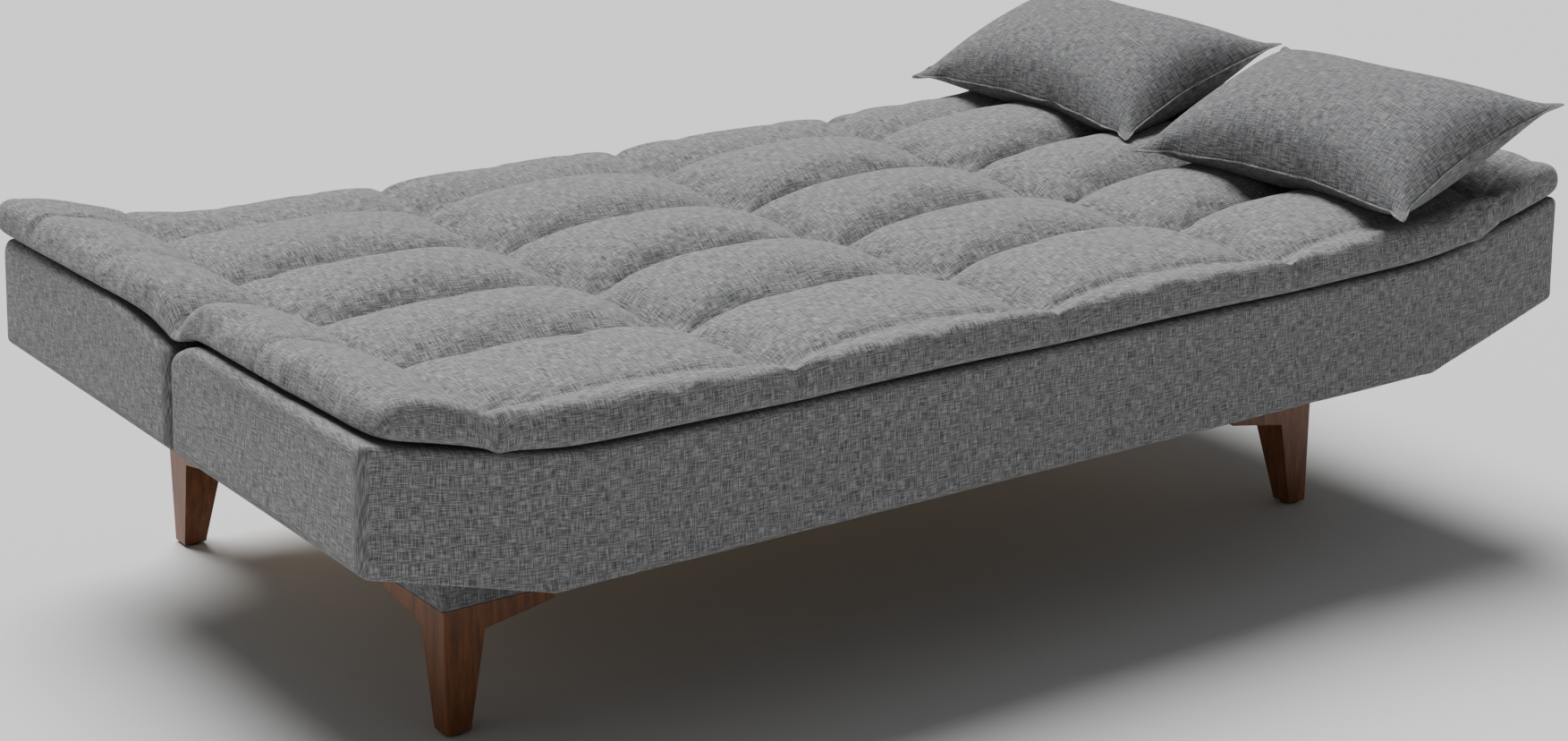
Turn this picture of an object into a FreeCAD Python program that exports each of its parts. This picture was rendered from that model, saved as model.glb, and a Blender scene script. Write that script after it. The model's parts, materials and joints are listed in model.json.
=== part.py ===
import FreeCAD, Part
import math
import os

import Sketcher

# Two-section sofa bed shown opened flat, millimetres.
# Origin: on the floor, below the centre of the open bed.
# +X runs to the right end, +Y to the rear, +Z up.

doc = FreeCAD.newDocument("sofa_bed")

# ---------------------------------------------------------------- driving dimensions
DIMENSIONS = {
    # overall sections
    "half_length": 900.0,         # centre to the raised end of a section
    "flat_half": 672.0,           # centre to where the ends start to rise
    "end_rise": 68.0,             # how far the ends rise
    "end_lean": 7.0,              # the end faces lean in towards the top
    "seat_front": -501.0,
    "seat_back_edge": -27.0,
    "back_front_edge": -18.0,
    "back_rear": 500.0,
    "slab_bottom": 252.0,
    "slab_top": 405.0,
    "cloth": 1.5,                 # cover fabric
    "layer_gap": 0.3,             # between stacked pieces that only touch
    "lining_inset": 24.0,
    # quilted topper
    "topper_gap": 0.3,
    "topper_top": 455.0,
    "topper_edge_top": 500.0,
    "topper_half": 905.0,
    "topper_reach": 507.0,        # front and rear reach from the origin
    "fold_gap": 11.0,
    # fold axis
    "fold_y": -22.5,
    "fold_z": 400.0,
    "fold_angle": 75.0,
    "bevel_slope": 0.82,          # setback per height beside the fold
    "seat_travel": 225.0,
    # base box
    "box_half": 686.5,
    "box_front": -267.5,
    "box_rear": 505.0,
    "box_bottom": 156.0,
    "box_top": 249.0,
    "panel": 18.0,
    "floor_board": 8.0,
    "block": 40.0,
    "divider_drop": 8.0,          # the divider stops below the top of the box
    "cutter_reach": 5.0,          # how far cutting shapes run past what they cut
    "buffer_inner": 300.0,
    "buffer_outer": 500.0,
    "buffer_inset": 2.0,
    "buffer_width": 14.0,
    "buffer_gap": 0.6,
    # legs
    "foot": 31.0,
    "leg_width": 54.0,
    "taper_top": 124.0,
    "wing_length": 147.0,
    "wing_thick": 25.0,
    "wing_tip": 141.0,
    "glide_height": 3.0,
    "wing_overlap": 4.0,          # how far the wings run into the post
    "glide_radius": 13.0,
    "bolt_diameter": 8.0,
    "bolt_inset": 40.0,
    "bolt_low": 110.0,
    "bolt_high": 222.0,
    "bolt_clearance": 0.1,
    "edge_break": 1.2,
    # frame timber
    "rail_width": 22.0,
    "rail_inset": 4.0,            # from the outside of the cover
    "seat_middle_rail": -203.0,
    "seat_rear_rail_half": 620.0,
    "back_front_rail_half": 600.0,
    "rail_low": 254.0,
    "rail_high": 300.0,
    "slat_high": 308.0,
    "slat_width": 60.0,
    "slat_inset": 6.0,
    "slat_field": 1160.0,         # between the outermost slats
    # raised ends
    "wing_board_gap": 0.5,
    "wing_board_low": 3.0,        # above the bottom of the slab
    "wing_board_high": 15.0,
    "wing_board_inset": 12.0,
    "end_drop": 6.0,              # the end faces are this much lower than the slab is thick
    # fold fittings, measured from the middle of the sofa
    "arm_in": 631.0,
    "arm_out": 636.0,
    "guide_in": 640.0,
    "guide_out": 644.0,
    "plate_in": 648.5,
    "plate_out": 651.5,
    "track_in": 655.0,
    "notch_in": 627.0,
    "notch_out": 654.0,
    "notch_front": -246.0,
    "notch_rear": 190.0,
    "pin_radius": 4.0,
    "guide_pin_radius": 6.0,
    "guide_pin_ahead": 134.0,     # guide pin, ahead of and below the fold axis
    "guide_pin_below": 172.0,
    "roller_radius": 9.2,
    "roller_z": 237.0,
    "roller_front_y": -225.0,
    "roller_rear_y": -62.0,
    "axle_radius": 3.0,
    "axle_length": 13.8,
    "collar_length": 4.6,
    "collar_step": 2.0,
    "roller_offset": 5.0,         # from the plate to the roller
    "roller_width": 8.0,
    "bore_clearance": 0.05,
    "track_clearance": 0.3,
    "track_wall": 1.5,
    "track_rear": 200.0,
    "guide_front": -182.0,
    "guide_rear": 366.0,
    "guide_low": 168.0,
    "guide_high": 246.5,
    "slot_clearance": 0.4,
    "standoff_radius": 5.0,
    "standoff_inset": 10.0,
    "plate_low": 226.0,
    "plate_toe": 16.0,            # the plate runs past its axles
    "plate_knee": 262.0,
    "plate_front": 272.0,
    "plate_waist": 300.0,
    "plate_head": 10.0,           # half size of the plate's head round the fold pin
    "ratchet_radius": 10.5,
    "arm_foot_low": 264.0,
    "arm_foot_high": 294.0,
    "arm_foot_end": 200.0,
    "notch_low": 200.0,
    "notch_high": 430.0,
    "bevel_height": 130.0,
    # loose pillows
    "pillow_length": 452.0,
    "pillow_width": 312.0,
    "pillow_thick": 112.0,
    "pillow_tilt": 20.0,
    "pillow_cloth": 1.5,
}

sheet = doc.addObject("Spreadsheet::Sheet", "Dims")
for row, (alias, value) in enumerate(DIMENSIONS.items(), start=1):
    sheet.set(f"A{row}", alias)
    sheet.set(f"B{row}", str(value))
    sheet.setAlias(f"B{row}", alias)
doc.recompute()


def dim(alias):
    """Value of a driving dimension, read from the sheet."""
    return float(sheet.get(alias))


SHEET_NAMES = sorted(DIMENSIONS, key=len, reverse=True)


def bind(expression):
    """Turn 'half_length - cloth' into an expression on the sheet."""
    text = str(expression)
    out = ""
    position = 0
    while position < len(text):
        for name in SHEET_NAMES:
            if text.startswith(name, position):
                out += "Dims." + name
                position += len(name)
                break
        else:
            out += text[position]
            position += 1
    return out


def evaluate(expression):
    """Number that an expression on the driving dimensions stands for."""
    holder = doc.addObject("App::FeaturePython", "Probe")
    holder.addProperty("App::PropertyFloat", "Result")
    holder.setExpression("Result", bind(expression))
    doc.recompute()
    value = holder.Result
    doc.removeObject(holder.Name)
    return value


nodes = []


def keep(obj, label):
    """Register an object as a finished sub-part."""
    obj.Label = label
    nodes.append(obj)
    return obj


# ---------------------------------------------------------------- builders
def block(name, low_x, high_x, low_y, high_y, low_z, high_z):
    """Box between two corners, each given as an expression."""
    box = doc.addObject("Part::Box", name)
    box.setExpression("Length", bind(f"({high_x}) - ({low_x})"))
    box.setExpression("Width", bind(f"({high_y}) - ({low_y})"))
    box.setExpression("Height", bind(f"({high_z}) - ({low_z})"))
    box.setExpression("Placement.Base.x", bind(low_x))
    box.setExpression("Placement.Base.y", bind(low_y))
    box.setExpression("Placement.Base.z", bind(low_z))
    return box


def rod(name, start_x, end_x, pos_y, pos_z, radius):
    """Cylinder along +X."""
    pin = doc.addObject("Part::Cylinder", name)
    pin.setExpression("Radius", bind(radius))
    pin.setExpression("Height", bind(f"({end_x}) - ({start_x})"))
    pin.Placement.Rotation = FreeCAD.Rotation(FreeCAD.Vector(0, 1, 0), 90)
    pin.setExpression("Placement.Base.x", bind(start_x))
    pin.setExpression("Placement.Base.y", bind(pos_y))
    pin.setExpression("Placement.Base.z", bind(pos_z))
    return pin


def post(name, pos_x, pos_y, low_z, high_z, radius):
    """Upright cylinder."""
    pin = doc.addObject("Part::Cylinder", name)
    pin.setExpression("Radius", bind(radius))
    pin.setExpression("Height", bind(f"({high_z}) - ({low_z})"))
    pin.setExpression("Placement.Base.x", bind(pos_x))
    pin.setExpression("Placement.Base.y", bind(pos_y))
    pin.setExpression("Placement.Base.z", bind(low_z))
    return pin


def mirrored(name, source, normal, base=(0.0, 0.0, 0.0)):
    """Mirror image of an object."""
    image = doc.addObject("Part::Mirroring", name)
    image.Source = source
    image.Normal = FreeCAD.Vector(*normal)
    image.Base = FreeCAD.Vector(*base)
    return image


def cut(name, base, *tools):
    """Base minus the tools."""
    if len(tools) == 1:
        tool = tools[0]
    else:
        tool = doc.addObject("Part::Compound", name + "_tools")
        tool.Links = list(tools)
    result = doc.addObject("Part::Cut", name)
    result.Base = base
    result.Tool = tool
    return result


def group(name, *members):
    """Several separate solids kept as one sub-part."""
    result = doc.addObject("Part::Compound", name)
    result.Links = list(members)
    return result


def fuse(name, *members):
    """One solid out of several overlapping ones."""
    result = doc.addObject("Part::MultiFuse", name)
    result.Shapes = list(members)
    return result


def plane_of(body, role):
    """Origin plane of a body, such as XZ_Plane."""
    for feature in body.Origin.OriginFeatures:
        if feature.Role == role:
            return feature
    raise ValueError(role)


def outline(body, name, role, points, offset="0"):
    """Closed sketch through points given as pairs of expressions."""
    sketch = body.newObject("Sketcher::SketchObject", name)
    sketch.AttachmentSupport = [(plane_of(body, role), "")]
    sketch.MapMode = "FlatFace"
    if offset != "0":
        sketch.setExpression("AttachmentOffset.Base.z", bind(offset))
    values = [(evaluate(u), evaluate(v)) for u, v in points]
    count = len(values)
    for index in range(count):
        start = FreeCAD.Vector(*values[index], 0)
        end = FreeCAD.Vector(*values[(index + 1) % count], 0)
        sketch.addGeometry(Part.LineSegment(start, end), False)
    for index in range(count):
        following = (index + 1) % count
        sketch.addConstraint(Sketcher.Constraint("Coincident", index, 2, following, 1))
    for index, (u, v) in enumerate(points):
        for kind, text, value in (("DistanceX", u, values[index][0]), ("DistanceY", v, values[index][1])):
            constraint = Sketcher.Constraint(kind, -1, 1, index, 1, value)
            number = sketch.addConstraint(constraint)
            label = f"{kind}{index}"
            sketch.renameConstraint(number, label)
            sketch.setExpression(f"Constraints.{label}", bind(text))
    return sketch


def prism(name, role, points, length, offset="0", reverse=False):
    """Body padded from one closed outline."""
    body = doc.addObject("PartDesign::Body", name)
    sketch = outline(body, name + "_outline", role, points, offset)
    pad = body.newObject("PartDesign::Pad", name + "_pad")
    pad.Profile = sketch
    pad.setExpression("Length", bind(length))
    pad.Reversed = reverse
    doc.recompute()
    return body


# The XZ plane's normal points along -Y, so a sketch offset by -y sits at +y and pads towards -Y.
def along_y(name, points, low_y, high_y):
    """Prism of an XZ outline between two Y values."""
    return prism(name, "XZ_Plane", points, f"({high_y}) - ({low_y})", f"-({high_y})")


def along_x(name, points, low_x, high_x):
    """Prism of a YZ outline between two X values."""
    return prism(name, "YZ_Plane", points, f"({high_x}) - ({low_x})", low_x)


def pair(name, right):
    """A right-hand piece with its left-hand mirror image, kept as one sub-part."""
    return group(name, right, mirrored(name + "_left_half", right, (1, 0, 0)))


# ---------------------------------------------------------------- legs
def make_leg():
    """Tapered square post with two tapering wings, at the front left corner."""
    body = doc.addObject("PartDesign::Body", "leg_post")
    corner_x = "-box_half"
    corner_y = "box_front"
    foot = [
        (corner_x, corner_y),
        ("-box_half + foot", corner_y),
        ("-box_half + foot", "box_front + foot"),
        (corner_x, "box_front + foot"),
    ]
    top = [
        (corner_x, corner_y),
        ("-box_half + leg_width", corner_y),
        ("-box_half + leg_width", "box_front + leg_width"),
        (corner_x, "box_front + leg_width"),
    ]
    foot_sketch = outline(body, "leg_foot", "XY_Plane", foot, "glide_height")
    top_sketch = outline(body, "leg_top", "XY_Plane", top, "taper_top")
    loft = body.newObject("PartDesign::AdditiveLoft", "leg_taper")
    loft.Profile = foot_sketch
    loft.Sections = [top_sketch]
    loft.Ruled = True
    doc.recompute()
    head_sketch = outline(body, "leg_head_outline", "XY_Plane", top, "taper_top")
    head = body.newObject("PartDesign::Pad", "leg_head")
    head.Profile = head_sketch
    head.setExpression("Length", bind("box_bottom - taper_top"))
    doc.recompute()
    front_wing = [
        ("-box_half + leg_width - wing_overlap", "taper_top"),
        ("-box_half + wing_length", "wing_tip"),
        ("-box_half + wing_length", "box_bottom"),
        ("-box_half + leg_width - wing_overlap", "box_bottom"),
    ]
    front_sketch = outline(body, "leg_front_wing_outline", "XZ_Plane", front_wing, "-box_front")
    front_pad = body.newObject("PartDesign::Pad", "leg_front_wing")
    front_pad.Profile = front_sketch
    front_pad.setExpression("Length", bind("wing_thick"))
    front_pad.Reversed = True
    doc.recompute()
    side_wing = [
        ("box_front + leg_width - wing_overlap", "taper_top"),
        ("box_front + wing_length", "wing_tip"),
        ("box_front + wing_length", "box_bottom"),
        ("box_front + leg_width - wing_overlap", "box_bottom"),
    ]
    side_sketch = outline(body, "leg_side_wing_outline", "YZ_Plane", side_wing, "-box_half")
    side_pad = body.newObject("PartDesign::Pad", "leg_side_wing")
    side_pad.Profile = side_sketch
    side_pad.setExpression("Length", bind("wing_thick"))
    doc.recompute()
    # the outer corner edge of the post is slightly broken
    edges = []
    for number, edge in enumerate(side_pad.Shape.Edges, start=1):
        box = edge.BoundBox
        on_corner = box.XMax < -dim("box_half") + 0.01 and box.YMax < dim("box_front") + 0.01
        if on_corner:
            edges.append(f"Edge{number}")
    chamfer = body.newObject("PartDesign::Chamfer", "leg_edges")
    chamfer.Base = (side_pad, edges)
    chamfer.setExpression("Size", bind("edge_break"))
    doc.recompute()
    return body


leg_body = make_leg()
bolt_x = "-box_half + bolt_inset"
bolt_y = "box_front + bolt_inset"
leg_bolt_front = post(
    "leg_bolt_front", bolt_x, bolt_y, "bolt_low", "bolt_high", "bolt_diameter / 2 + bolt_clearance"
)
leg_front_left = keep(cut("leg_front_left_cut", leg_body, leg_bolt_front), "leg_front_left")
keep(mirrored("leg_front_right_image", leg_front_left, (1, 0, 0)), "leg_front_right")
box_middle_y = (dim("box_front") + dim("box_rear")) / 2
leg_rear_left = mirrored("leg_rear_left_image", leg_front_left, (0, 1, 0), (0, box_middle_y, 0))
keep(leg_rear_left, "leg_rear_left")
keep(mirrored("leg_rear_right_image", leg_rear_left, (1, 0, 0)), "leg_rear_right")


def four_corners(name, source):
    """Copy a front left piece to all four corners of the base."""
    right = mirrored(name + "_fr", source, (1, 0, 0))
    rear = mirrored(name + "_rl", source, (0, 1, 0), (0, box_middle_y, 0))
    rear_right = mirrored(name + "_rr", rear, (1, 0, 0))
    return group(name, source, right, rear, rear_right)


leg_bolt = post("leg_bolt", bolt_x, bolt_y, "bolt_low", "bolt_high", "bolt_diameter / 2")
leg_bolts = keep(four_corners("leg_bolt_set", leg_bolt), "leg_bolts")
glide = post("glide", "-box_half + foot / 2", "box_front + foot / 2", "0", "glide_height", "glide_radius")
keep(four_corners("glide_set", glide), "leg_glides")

# ---------------------------------------------------------------- base box
box_in = "box_half - cloth"
inner = "box_half - cloth - panel"
front_in = "box_front + cloth"
rear_in = "box_rear - cloth"
board_low = "box_bottom + layer_gap"
keep(
    block("front_panel", f"-({box_in})", box_in, front_in, f"{front_in} + panel", board_low, "box_top"),
    "base_front_panel",
)
keep(
    block("rear_panel", f"-({box_in})", box_in, f"{rear_in} - panel", rear_in, board_low, "box_top"),
    "base_rear_panel",
)
end_panel = block(
    "end_panel", inner, box_in, f"{front_in} + panel", f"{rear_in} - panel", board_low, "box_top"
)
keep(end_panel, "base_right_panel")
keep(mirrored("left_panel", end_panel, (1, 0, 0)), "base_left_panel")
floor_top = f"{board_low} + floor_board"
floor_blank = block(
    "floor_blank",
    f"-({inner})",
    inner,
    f"{front_in} + panel",
    f"{rear_in} - panel",
    board_low,
    floor_top,
)
keep(cut("floor_cut", floor_blank, leg_bolts), "base_floor_board")
keep(
    block(
        "divider",
        "-panel / 2",
        "panel / 2",
        f"{front_in} + panel",
        f"{rear_in} - panel",
        floor_top,
        "box_top - divider_drop",
    ),
    "base_divider",
)
corner_blank = block(
    "corner_blank",
    f"-({inner})",
    f"-({inner}) + block",
    f"{front_in} + panel",
    f"{front_in} + panel + block",
    floor_top,
    "bolt_high",
)
corner_cut = cut("corner_cut", corner_blank, leg_bolt_front)
keep(four_corners("corner_set", corner_cut), "base_corner_blocks")
cover_outer = block(
    "cover_outer", "-box_half", "box_half", "box_front", "box_rear", board_low, "box_top"
)
cover_inner = block(
    "cover_inner",
    f"-({box_in})",
    box_in,
    front_in,
    rear_in,
    "box_bottom - cutter_reach",
    "box_top + cutter_reach",
)
keep(cut("base_cover_cut", cover_outer, cover_inner), "base_cover")
buffer_strip = block(
    "buffer_strip",
    "buffer_inner",
    "buffer_outer",
    f"{rear_in} - buffer_inset - buffer_width",
    f"{rear_in} - buffer_inset",
    "box_top",
    "slab_bottom - buffer_gap",
)
keep(pair("buffer_pair", buffer_strip), "rear_buffers")

# ---------------------------------------------------------------- track, guide plate and rollers
track_low = "roller_z - roller_radius - track_clearance"
track_high = "roller_z + roller_radius + track_clearance"
track_outline = [
    ("track_in", f"{track_low} - track_wall"),
    (inner, f"{track_low} - track_wall"),
    (inner, f"{track_high} + track_wall"),
    ("track_in", f"{track_high} + track_wall"),
    ("track_in", track_high),
    (f"{inner} - track_wall", track_high),
    (f"{inner} - track_wall", track_low),
    ("track_in", track_low),
]
track_right = along_y("track_channel", track_outline, f"{front_in} + panel + 1", "track_rear")
keep(track_right, "roller_track_right")
keep(mirrored("track_left_image", track_right, (1, 0, 0)), "roller_track_left")

fold_y = dim("fold_y")
fold_z = dim("fold_z")
fold_angle = math.radians(dim("fold_angle"))
ahead = dim("guide_pin_ahead")
below = dim("guide_pin_below")


def guide_point(fraction):
    """Centre of the guide pin when the fold has gone this fraction of its travel."""
    angle = fraction * fold_angle
    shift = fraction * dim("seat_travel")
    along = -ahead * math.cos(angle) + below * math.sin(angle)
    rise = -ahead * math.sin(angle) - below * math.cos(angle)
    return FreeCAD.Vector(0, fold_y + shift + along, fold_z + rise)


SLOT_STEPS = 24
SLOT_NUDGE = 0.01                 # fraction of the travel used to find the path's direction
SLOT_OVERRUN = 2.0                # the cutting solid runs past both faces of the plate


def guide_slot(start_x, width_x):
    """Solid that the guide pin sweeps, with running clearance, along its whole path."""
    half_width = dim("guide_pin_radius") + dim("slot_clearance")
    upper = []
    lower = []
    for step in range(SLOT_STEPS + 1):
        fraction = step / SLOT_STEPS
        here = guide_point(fraction)
        ahead_of = guide_point(fraction + SLOT_NUDGE)
        behind = guide_point(fraction - SLOT_NUDGE)
        tangent = (ahead_of - behind).normalize()
        normal = FreeCAD.Vector(0, -tangent.z, tangent.y)
        upper.append(here + normal * half_width)
        lower.append(here - normal * half_width)
    first = guide_point(0)
    last = guide_point(1)
    start_dir = (guide_point(SLOT_NUDGE) - first).normalize()
    end_dir = (last - guide_point(1 - SLOT_NUDGE)).normalize()
    upper_curve = Part.BSplineCurve()
    upper_curve.interpolate(upper)
    lower_curve = Part.BSplineCurve()
    lower_curve.interpolate(list(reversed(lower)))
    start_cap = Part.Arc(lower[0], first - start_dir * half_width, upper[0])
    end_cap = Part.Arc(upper[-1], last + end_dir * half_width, lower[-1])
    wire = Part.Wire(
        [upper_curve.toShape(), end_cap.toShape(), lower_curve.toShape(), start_cap.toShape()]
    )
    solid = Part.Face(wire).extrude(FreeCAD.Vector(width_x, 0, 0))
    solid.translate(FreeCAD.Vector(start_x, 0, 0))
    return solid


slot = doc.addObject("Part::Feature", "guide_slot")
slot_width = dim("guide_out") - dim("guide_in") + 2 * SLOT_OVERRUN
slot.Shape = guide_slot(dim("guide_in") - SLOT_OVERRUN, slot_width)
guide_blank = block(
    "guide_blank", "guide_in", "guide_out", "guide_front", "guide_rear", "guide_low", "guide_high"
)
guide_right = cut("guide_right_cut", guide_blank, slot)
keep(guide_right, "guide_plate_right")
keep(mirrored("guide_left_image", guide_right, (1, 0, 0)), "guide_plate_left")
STANDOFF_PLACES = (
    ("guide_front + standoff_inset", "guide_low + standoff_inset"),
    ("guide_front + 272", "guide_low + 40"),
    ("guide_rear - standoff_inset", "guide_low + standoff_inset"),
    ("guide_rear - standoff_inset", "guide_low + 49"),
)
standoffs = []
for index, (pos_y, pos_z) in enumerate(STANDOFF_PLACES):
    standoffs.append(rod(f"standoff_{index}", "guide_out", inner, pos_y, pos_z, "standoff_radius"))
standoffs_right = group("standoffs_right", *standoffs)
standoffs_left = mirrored("standoffs_left", standoffs_right, (1, 0, 0))
keep(group("standoff_set", standoffs_right, standoffs_left), "guide_plate_standoffs")


def make_roller(name, pos_y):
    """Flat nylon wheel with a bore."""
    start = "plate_out + roller_offset"
    end = f"{start} + roller_width"
    bore_radius = "axle_radius + bore_clearance"
    wheel = rod(name + "_wheel", start, end, pos_y, "roller_z", "roller_radius")
    bore = rod(name + "_bore", f"{start} - 1", f"{end} + 1", pos_y, "roller_z", bore_radius)
    return cut(name + "_cut", wheel, bore)


axles = []
for place, pos_y in (("front", "roller_front_y"), ("rear", "roller_rear_y")):
    roller = make_roller("roller_" + place, pos_y)
    keep(roller, f"roller_{place}_right")
    keep(mirrored(f"roller_{place}_image", roller, (1, 0, 0)), f"roller_{place}_left")
    axle_end = "plate_out + axle_length"
    collar_end = "plate_out + collar_length"
    collar_radius = "axle_radius + collar_step"
    axle = rod(f"axle_{place}", "plate_out", axle_end, pos_y, "roller_z", "axle_radius")
    collar = rod(f"collar_{place}", "plate_out", collar_end, pos_y, "roller_z", collar_radius)
    axles.append(fuse(f"axle_{place}_fused", axle, collar))
keep(pair("axle_pair", group("axles_right", *axles)), "roller_axles")

# ---------------------------------------------------------------- fold fittings on the seat
plate_outline = [
    ("roller_front_y - plate_toe", "plate_low"),
    ("roller_rear_y + plate_toe", "plate_low"),
    ("roller_rear_y + 30", "plate_knee"),
    ("fold_y + plate_head", "fold_z - 6"),
    ("fold_y + plate_head", "fold_z + 6"),
    ("fold_y + plate_head / 2", "fold_z + plate_head"),
    ("fold_y - plate_head / 2", "fold_z + plate_head"),
    ("fold_y - 60", "plate_waist"),
    ("roller_front_y - plate_toe", "plate_front"),
]
seat_plate_blank = along_x("seat_plate_blank", plate_outline, "plate_in", "plate_out")
fold_bore = rod("fold_bore_plate", "plate_in - 1", "plate_out + 1", "fold_y", "fold_z", "pin_radius")
seat_plate = cut("seat_plate_cut", seat_plate_blank, fold_bore)
keep(seat_plate, "seat_plate_right")
keep(mirrored("seat_plate_image", seat_plate, (1, 0, 0)), "seat_plate_left")
fold_pin = rod("fold_pin", "arm_in - 2", "plate_out + 2", "fold_y", "fold_z", "pin_radius")
keep(pair("fold_pin_pair", fold_pin), "fold_pins")
ratchet_disc = rod("ratchet_disc", "arm_out + 0.4", "plate_in", "fold_y", "fold_z", "ratchet_radius")
ratchet_bore = rod("ratchet_bore", "arm_out", "plate_in + 1", "fold_y", "fold_z", "pin_radius")
keep(pair("ratchet_pair", cut("ratchet_cut", ratchet_disc, ratchet_bore)), "ratchet_housings")

# ---------------------------------------------------------------- folding arm on the back
arm_outline = [
    ("fold_y - guide_pin_ahead - 9", "fold_z - guide_pin_below - 4"),
    ("fold_y - guide_pin_ahead + 2", "fold_z - guide_pin_below - 10"),
    ("fold_y - guide_pin_ahead + 14", "fold_z - guide_pin_below + 2"),
    ("fold_y + 12", "fold_z - 40"),
    ("fold_y + 60", "arm_foot_low"),
    ("fold_y + arm_foot_end", "arm_foot_low"),
    ("fold_y + arm_foot_end", "arm_foot_high"),
    ("fold_y + 70", "302"),
    ("fold_y + 11", "fold_z - 8"),
    ("fold_y + 11", "fold_z + 4"),
    ("fold_y + 4", "fold_z + 10"),
    ("fold_y - 6", "fold_z + 9"),
    ("fold_y - 12", "fold_z"),
    ("fold_y - guide_pin_ahead - 10", "fold_z - guide_pin_below + 8"),
]
arm_blank = along_x("arm_blank", arm_outline, "arm_in", "arm_out")
arm_bore = rod("arm_bore", "arm_in - 1", "arm_out + 1", "fold_y", "fold_z", "pin_radius + bore_clearance")
arm_right = cut("arm_cut", arm_blank, arm_bore)
keep(arm_right, "back_arm_right")
keep(mirrored("arm_image", arm_right, (1, 0, 0)), "back_arm_left")
guide_pin = rod(
    "guide_pin",
    "arm_out",
    "guide_out + 2",
    "fold_y - guide_pin_ahead",
    "fold_z - guide_pin_below",
    "guide_pin_radius",
)
keep(pair("guide_pin_pair", guide_pin), "guide_pins")


# ---------------------------------------------------------------- upholstered sections
def bent(low, high, side, lean):
    """Cross-section of a section between two heights, with its ends rising.

    side is how far the outline reaches from the middle, low and high its heights at the middle.
    """
    return [
        ("-flat_half", low),
        ("flat_half", low),
        (side, f"{low} + end_rise"),
        (f"{side} - {lean}", f"{high} + end_rise - end_drop"),
        ("flat_half", high),
        ("-flat_half", high),
        (f"-({side} - {lean})", f"{high} + end_rise - end_drop"),
        (f"-({side})", f"{low} + end_rise"),
    ]


def notch_pair(name, low_y, high_y):
    """The two slots that clear the fold fittings."""
    right = block(name + "_right", "notch_in", "notch_out", low_y, high_y, "notch_low", "notch_high")
    return pair(name, right)


def fold_bevel(name, side, edge_y, low_z):
    """Wedge above the fold axis that the two sections leave free so that they can close up."""
    away = "-" if side == "seat" else "+"
    points = [
        (edge_y, low_z),
        (f"{edge_y} {away} bevel_slope * bevel_height", f"{low_z} + bevel_height"),
        ("fold_y", f"{low_z} + bevel_height"),
        ("fold_y", low_z),
    ]
    return along_x(name, points, "-topper_half - cutter_reach", "topper_half + cutter_reach")


def make_section(side, low_y, high_y, fold_edge, notch_low, notch_high):
    """Cover, underside cloth, foam and wing boards of one section."""
    low_in = f"{low_y} + cloth"
    high_in = f"{high_y} - cloth"
    away = "-" if side == "seat" else "+"
    notch = notch_pair(side + "_notch", notch_low, notch_high)
    bevel_outer = fold_bevel(side + "_bevel_outer", side, fold_edge, "fold_z")
    bevel_inner = fold_bevel(side + "_bevel_inner", side, f"{fold_edge} {away} cloth * 1.4", "fold_z")

    shell_outline = bent("slab_bottom", "slab_top", "half_length", "end_lean")
    shell = cut(side + "_shell_cut", along_y(side + "_shell", shell_outline, low_y, high_y), bevel_outer)
    hollow_outline = bent("slab_bottom - 3", "slab_top - cloth", "half_length - cloth", "end_lean")
    hollow_blank = along_y(side + "_hollow", hollow_outline, low_in, high_in)
    hollow = cut(side + "_hollow_cut", hollow_blank, bevel_inner)
    keep(cut(side + "_cover_cut", shell, hollow, notch), side + "_cover")

    # the underside cloth is stapled on a little inside the cover's turned edge
    lining_side = "half_length - lining_inset"
    lining_end = "end_rise * (half_length - lining_inset - flat_half) / (half_length - flat_half)"
    lining_outline = [
        ("-flat_half", "slab_bottom"),
        ("flat_half", "slab_bottom"),
        (lining_side, f"slab_bottom + {lining_end}"),
        (lining_side, f"slab_bottom + {lining_end} + 1"),
        ("flat_half", "slab_bottom + 1"),
        ("-flat_half", "slab_bottom + 1"),
        (f"-({lining_side})", f"slab_bottom + {lining_end} + 1"),
        (f"-({lining_side})", f"slab_bottom + {lining_end}"),
    ]
    lining = along_y(
        side + "_lining", lining_outline, f"{low_y} + lining_inset", f"{high_y} - lining_inset"
    )
    keep(cut(side + "_lining_cut", lining, notch), side + "_underside_cloth")

    foam_low = "slat_high + layer_gap"
    foam = block(
        side + "_foam_blank", "-flat_half", "flat_half", low_in, high_in, foam_low, "slab_top - cloth"
    )
    keep(cut(side + "_foam_cut", foam, bevel_inner, notch), side + "_foam")

    board_start = "flat_half + wing_board_gap"
    board_end = "half_length - wing_board_inset"
    wing_board = along_y(
        side + "_wing_plate",
        [
            (board_start, "slab_bottom + wing_board_low"),
            (board_end, "slab_bottom + end_rise - 1"),
            (board_end, "slab_bottom + end_rise + 11"),
            (board_start, "slab_bottom + wing_board_high"),
        ],
        f"{low_in} + rail_inset",
        f"{high_in} - rail_inset",
    )
    keep(pair(side + "_wing_boards_pair", wing_board), side + "_wing_boards")
    end_foam = along_y(
        side + "_end_foam",
        [
            (board_start, "slab_bottom + wing_board_high + 0.5"),
            (board_end, "slab_bottom + end_rise + 11.5"),
            ("half_length - 4", "slab_bottom + end_rise + 14"),
            ("half_length - end_lean - cloth - 1", "slab_top + end_rise - 9"),
            (board_start, "slab_top - cloth - 0.4"),
        ],
        low_in,
        high_in,
    )
    end_foam = cut(side + "_end_foam_cut", end_foam, bevel_inner)
    keep(pair(side + "_end_foam_pair", end_foam), side + "_end_foams")


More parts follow.
